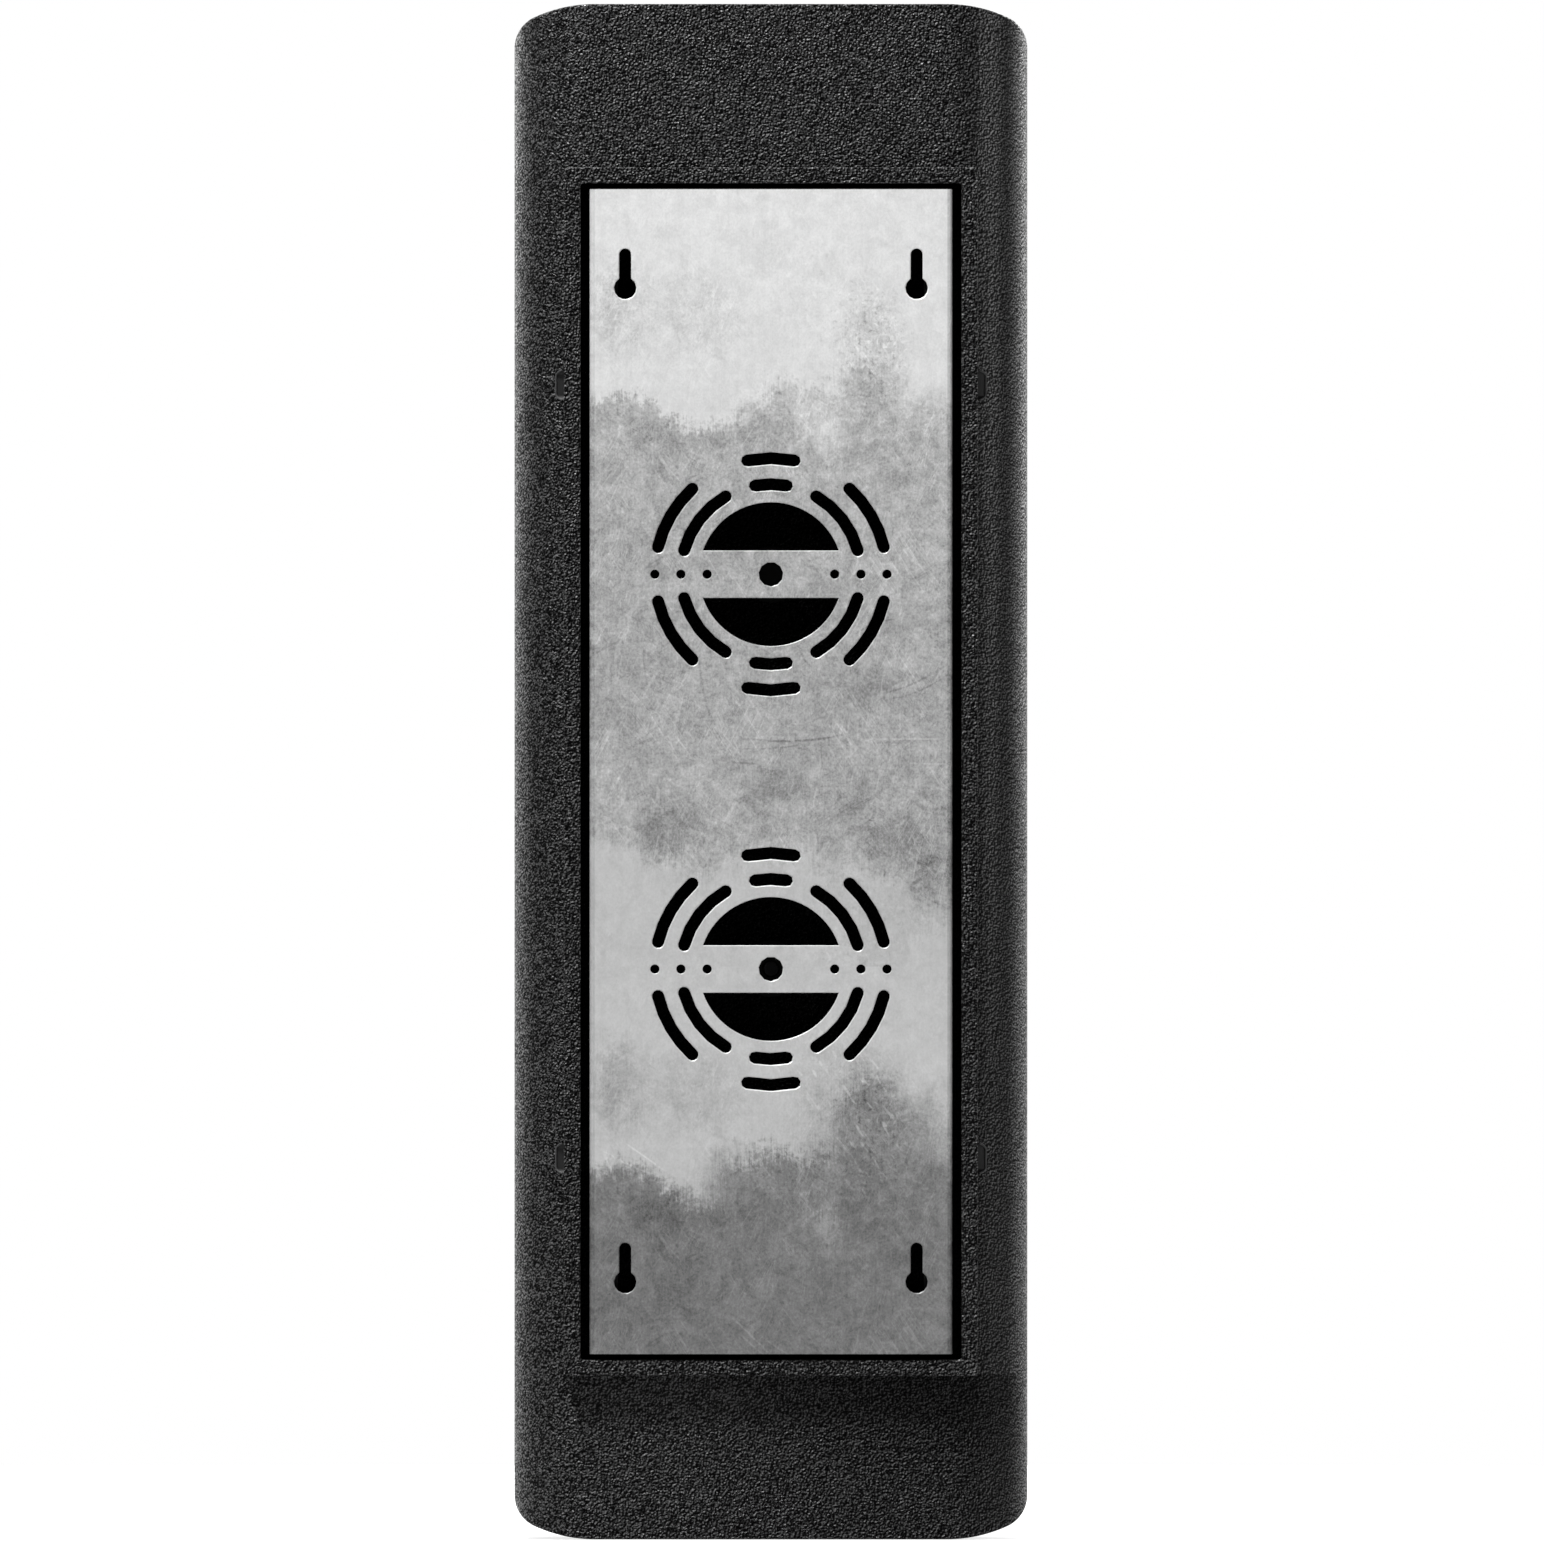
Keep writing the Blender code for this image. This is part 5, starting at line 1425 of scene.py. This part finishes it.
def build_module_back(field, z_mid):
    """Ribs and the cable gland."""
    ribs = piece(f"{field}_module_ribs", GREY, module_ribs, z_mid)
    on_door(ribs, field, "grey_polyamide", weighted=False)
    profile = [(4.2, -80.2), (6.7, -80.2), (6.7, -74.9), (9.8, -74.9), (9.8, -72.8),
               (7.6, -70.8), (4.2, -70.8)]
    radii = [0.3, 0.3, 0.1, 0.6, 0.6, 0.6, 0.4]
    gland = turned(f"{field}_module_gland", RUBBER, profile, radii, 48, (0, 0, z_mid))
    on_door(gland, field, "epdm_rubber", weighted=False)


def build_clamp_ring(field, z_mid):
    profile = [(101.8, -127.4), (111.8, -127.4), (111.8, -138.6), (108.6, -138.6),
               (108.6, -131.1), (101.8, -131.1)]
    radii = [0.6, 0.9, 0.3, 0.3, 0.2, 0.6]
    ring = turned(f"{field}_clamp_ring", BLACK, profile, radii, SEGS, (0, 0, z_mid))
    on_door(ring, field, "black_moulding", "retaining_ring")


def led_packages(shape, z_mid):
    dome = [(0, -115.3), (2.0, -115.3), (1.8, -116.2), (1.1, -116.9), (0, -117.0)]
    for ring, count in ((0.0, 1), (26.0, 6), (52.0, 12), (78.0, 18)):
        for k in range(count):
            t = 2 * math.pi * k / count
            x, z = ring * math.sin(t), z_mid + ring * math.cos(t)
            prism(shape, [rounded_rect(2.6, 2.6, 0.6, 2, x, z)], -113.65, -115.2)
            lathe(shape, dome, 10, (x, 0, z))


def build_leds(field, z_mid):
    board = piece(f"{field}_led_plate", BOARD, drum, 94.0, -112.0, -113.6, SEGS, 0, z_mid)
    on_door(board, field, "circuit_board", "led_board", weighted=False)
    white = satin_material(f"{field}_led_white", tone=(0.72, 0.70, 0.62), rough=0.3)
    leds = piece(f"{field}_led_packages", white, led_packages, z_mid)
    on_door(leds, field, "clear_polycarbonate", weighted=False)


def build_studs(field, z_mid):
    """Slotted quarter-turn studs, each its own body."""
    profile = [(0, -141.2), (4.8, -141.2), (6.2, -140.0), (6.2, -137.25), (2.5, -137.25),
               (2.5, -109.2), (0, -109.2)]
    radii = [0, 1.2, 0.8, 0.25, 0.3, 0.8, 0]
    for tag, dz in (("upper", STUD), ("lower", -STUD)):
        z = z_mid + dz
        name = f"{field}_quarter_turn_{tag}"
        stud = turned(name, STEEL, profile, radii, 40, (STUD, 0, z))
        left, right, low, high = STUD - 0.9, STUD + 0.9, z - 5.2, z + 5.2
        slot = [(left, low), (right, low), (right, high), (left, high)]
        cut(stud, tool(prism, [slot], -139.8, -143.0))
        bevel(stud, width=0.12, limit=50).miter_outer = "MITER_ARC"
        body = f"{field}_stud_{tag}"
        dress(stud, body, "stainless_steel", body)


def build_hinge_pin(field, z_mid):
    low, neck, high = z_mid - 103.5, z_mid + 100.9, z_mid + 103.0
    profile = [(0, low), (PIN_R, low), (PIN_R, neck), (3.4, neck), (3.4, high), (0, high)]
    radii = [0, 0.7, 0.1, 0.3, 0.9, 0]
    centre = (HINGE_X, HINGE_Y, 0)
    pin = turned(f"{field}_pin", STEEL, profile, radii, 28, centre, plane="XY")
    dress(pin, "housing", "stainless_steel", f"{field}_hinge_pin")


def lit_bars(shape):
    """One lit plate behind each open bar of the two digits."""
    for mid_x, lit in ((-DIGIT_X, (4, 6)), (DIGIT_X, (0, 3, 1, 6, 2))):
        bars = seven_segment(mid_x, 0.5)
        for i in lit:
            prism(shape, [bars[i]], -131.85, -132.9)


# ---------------------------------------------------------------- small parts on the housing
def build_plate_screws():
    profile = [(0, -36.4), (2.2, -37.9), (4.4, -37.4), (4.7, -34.35), (2.4, -34.35),
               (2.4, -21.6), (0, -21.6)]
    radii = [0, 0.2, 0.9, 0.2, 0.1, 0.5, 0]
    tags = ("upper_left", "upper_right", "lower_left", "lower_right")
    for (x, z), tag in zip(PLATE_SCREWS, tags):
        screw = turned(f"plate_fixing_{tag}", STEEL, profile, radii, 32, (x, 0, z))
        dress(screw, "housing", "stainless_steel", f"plate_screw_{tag}")


def build_rubber_parts():
    """Cable grommet, the plug in the hole above it and the drain stopper."""
    grommet = [(4.6, -28.0), (9.5, -28.0), (15.5, -29.2), (15.5, -30.3), (11.6, -30.3),
               (11.6, -34.3), (15.0, -34.3), (15.0, -36.0), (8.5, -40.5), (4.6, -40.5)]
    dress(turned("grommet", RUBBER_PAINTED_SHADE, grommet, 0.4, 48, (0, 0, -RING_Z)),
          "housing", "epdm_rubber", "cable_grommet")
    plug = [(0, -28.6), (14.0, -28.6), (15.5, -29.4), (15.5, -30.3), (11.6, -30.3),
            (11.6, -34.3), (13.2, -34.3), (12.0, -37.5), (9.5, -37.5), (9.5, -32.0), (0, -32.0)]
    dress(turned("upper_plug", RUBBER_PAINTED_SHADE, plug, 0.4, 48, (0, 0, RING_Z)),
          "housing", "epdm_rubber", "blanking_plug")
    # radius, height above the housing's underside
    stopper = [(0, 0.3), (5.3, 0.3), (5.3, 3.6), (8.0, 3.6), (7.2, 6.4), (0, 6.4)]
    stopper = [(r, -HALF_H + height) for r, height in stopper]
    dress(turned("drain_stopper", RUBBER, stopper, 0.4, 36, (0, DRAIN_Y, 0), plane="XY"),
          "housing", "epdm_rubber", "drain_plug")


def finish_cad_pieces():
    """Materials and broken edges for the pieces kept from the frame."""
    materials = {
        "terminal_rail": ZINC, "terminal_block": GREY, "driver_case": BLACK,
        "driver_lid": BLACK, "driver_board": BOARD, "supply_cable": CABLE_PAINTED_SHADE,
    }
    for node, mat in materials.items():
        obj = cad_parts[node]
        obj.data.materials.clear()
        obj.data.materials.append(mat)
        bevel(obj, width=0.35, limit=35)


# ---------------------------------------------------------------- stage, light and camera
def build_floor():
    top, bottom, radius = -HALF_H - 0.4, -HALF_H - 20.0, 2600.0
    profile = [(0, bottom), (radius, bottom), (radius, top), (0, top)]
    piece("floor", floor_material(), lathe, profile, 96, (0, 0, 0), plane="XY")


def build_world():
    """White to the camera; as light, white from -y and dim from elsewhere."""
    world = bpy.data.worlds.new("studio")
    bpy.context.scene.world = world
    world.use_nodes = True
    graph = Graph(world.node_tree)
    graph.tree.nodes.clear()
    x, y, z = graph.xyz(graph.out(graph.node("ShaderNodeTexCoord"), "Generated"))
    glow = graph.ramp(graph.span(y, -1.0, 1.0), [(0.27, 1.0), (0.37, 0.10)])
    seen = graph.out(graph.node("ShaderNodeLightPath"), "Is Camera Ray")
    mixer = graph.node("ShaderNodeMixShader")
    graph.put(seen, mixer.inputs[0])
    for i, colour in ((1, glow), (2, (1.0, 1.0, 1.0))):
        background = graph.node("ShaderNodeBackground")
        graph.put(colour, background.inputs[0])
        graph.put(1.0, background.inputs[1])
        graph.put(graph.out(background), mixer.inputs[i])
    graph.put(graph.out(mixer), graph.node("ShaderNodeOutputWorld").inputs[0])


# name, place, aim, disk size in metres, watts
LIGHTS = [
    ("key", (1.4, 1.30, 4.2), (0, -0.03, 0.0), 0.8, 420.0),
    ("side", (1.5, 2.2, 1.4), (0, -0.03, 0.0), 0.6, 8.0),
    ("rim_right", (-1.7, -2.0, 0.4), (0, -0.03, 0.0), 0.8, 2.6),
    ("right_fill", (-2.4, 1.1, 0.6), (0, -0.03, 0.0), 1.6, 14.0),
    ("rim_left", (1.5, -2.2, 0.5), (0, -0.03, 0.0), 0.7, 1.6),
    ("front_fill", (-1.4, -2.6, 1.6), (0, -0.1, 0), 1.6, 34.0),
]


def build_lights():
    for name, where, target, size, power in LIGHTS:
        data = bpy.data.lights.new(name, "AREA")
        data.shape = "DISK"
        data.size = size
        data.energy = power
        obj = bpy.data.objects.new(name, data)
        obj.location = where
        aim = Vector(target) - Vector(where)
        obj.rotation_euler = aim.to_track_quat("-Z", "Y").to_euler()
        bpy.context.scene.collection.objects.link(obj)


def build_camera():
    """A long lens looking straight at the back, from +y."""
    away, view_width = 24.0, 0.8474
    scene = bpy.context.scene
    data = bpy.data.cameras.new("camera")
    data.sensor_width = 36.0
    data.lens = 36.0 * away / view_width
    data.clip_start = 1.0
    data.clip_end = 80.0
    camera = bpy.data.objects.new("camera", data)
    camera.location = (-0.0006, away, -0.0002)
    camera.rotation_euler = (math.radians(90), 0, math.radians(180))
    scene.collection.objects.link(camera)
    scene.camera = camera
    scene.view_settings.view_transform = "Standard"
    scene.view_settings.look = "None"


build_housing()
dress(piece("slot_lips", LIP_PAINTED_HIGHLIGHT, slot_lips), "housing", "grained_polycarbonate", weighted=False)
build_plate()
FIELD_PARTS = (
    build_door, build_gasket, build_visor, build_lens, build_lens_seal, build_mask,
    build_diffuser, build_module, build_module_back, build_clamp_ring, build_leds,
    build_studs, build_hinge_pin,
)
for field_name, field_z in FIELDS:
    for build_part in FIELD_PARTS:
        build_part(field_name, field_z)
on_door(piece("count_lit_bars", DIGITS, lit_bars), "count", "amber_diffuser", weighted=False)
build_plate_screws()
build_rubber_parts()
finish_cad_pieces()
build_floor()
build_world()
build_lights()
build_camera()

bpy.context.view_layer.update()
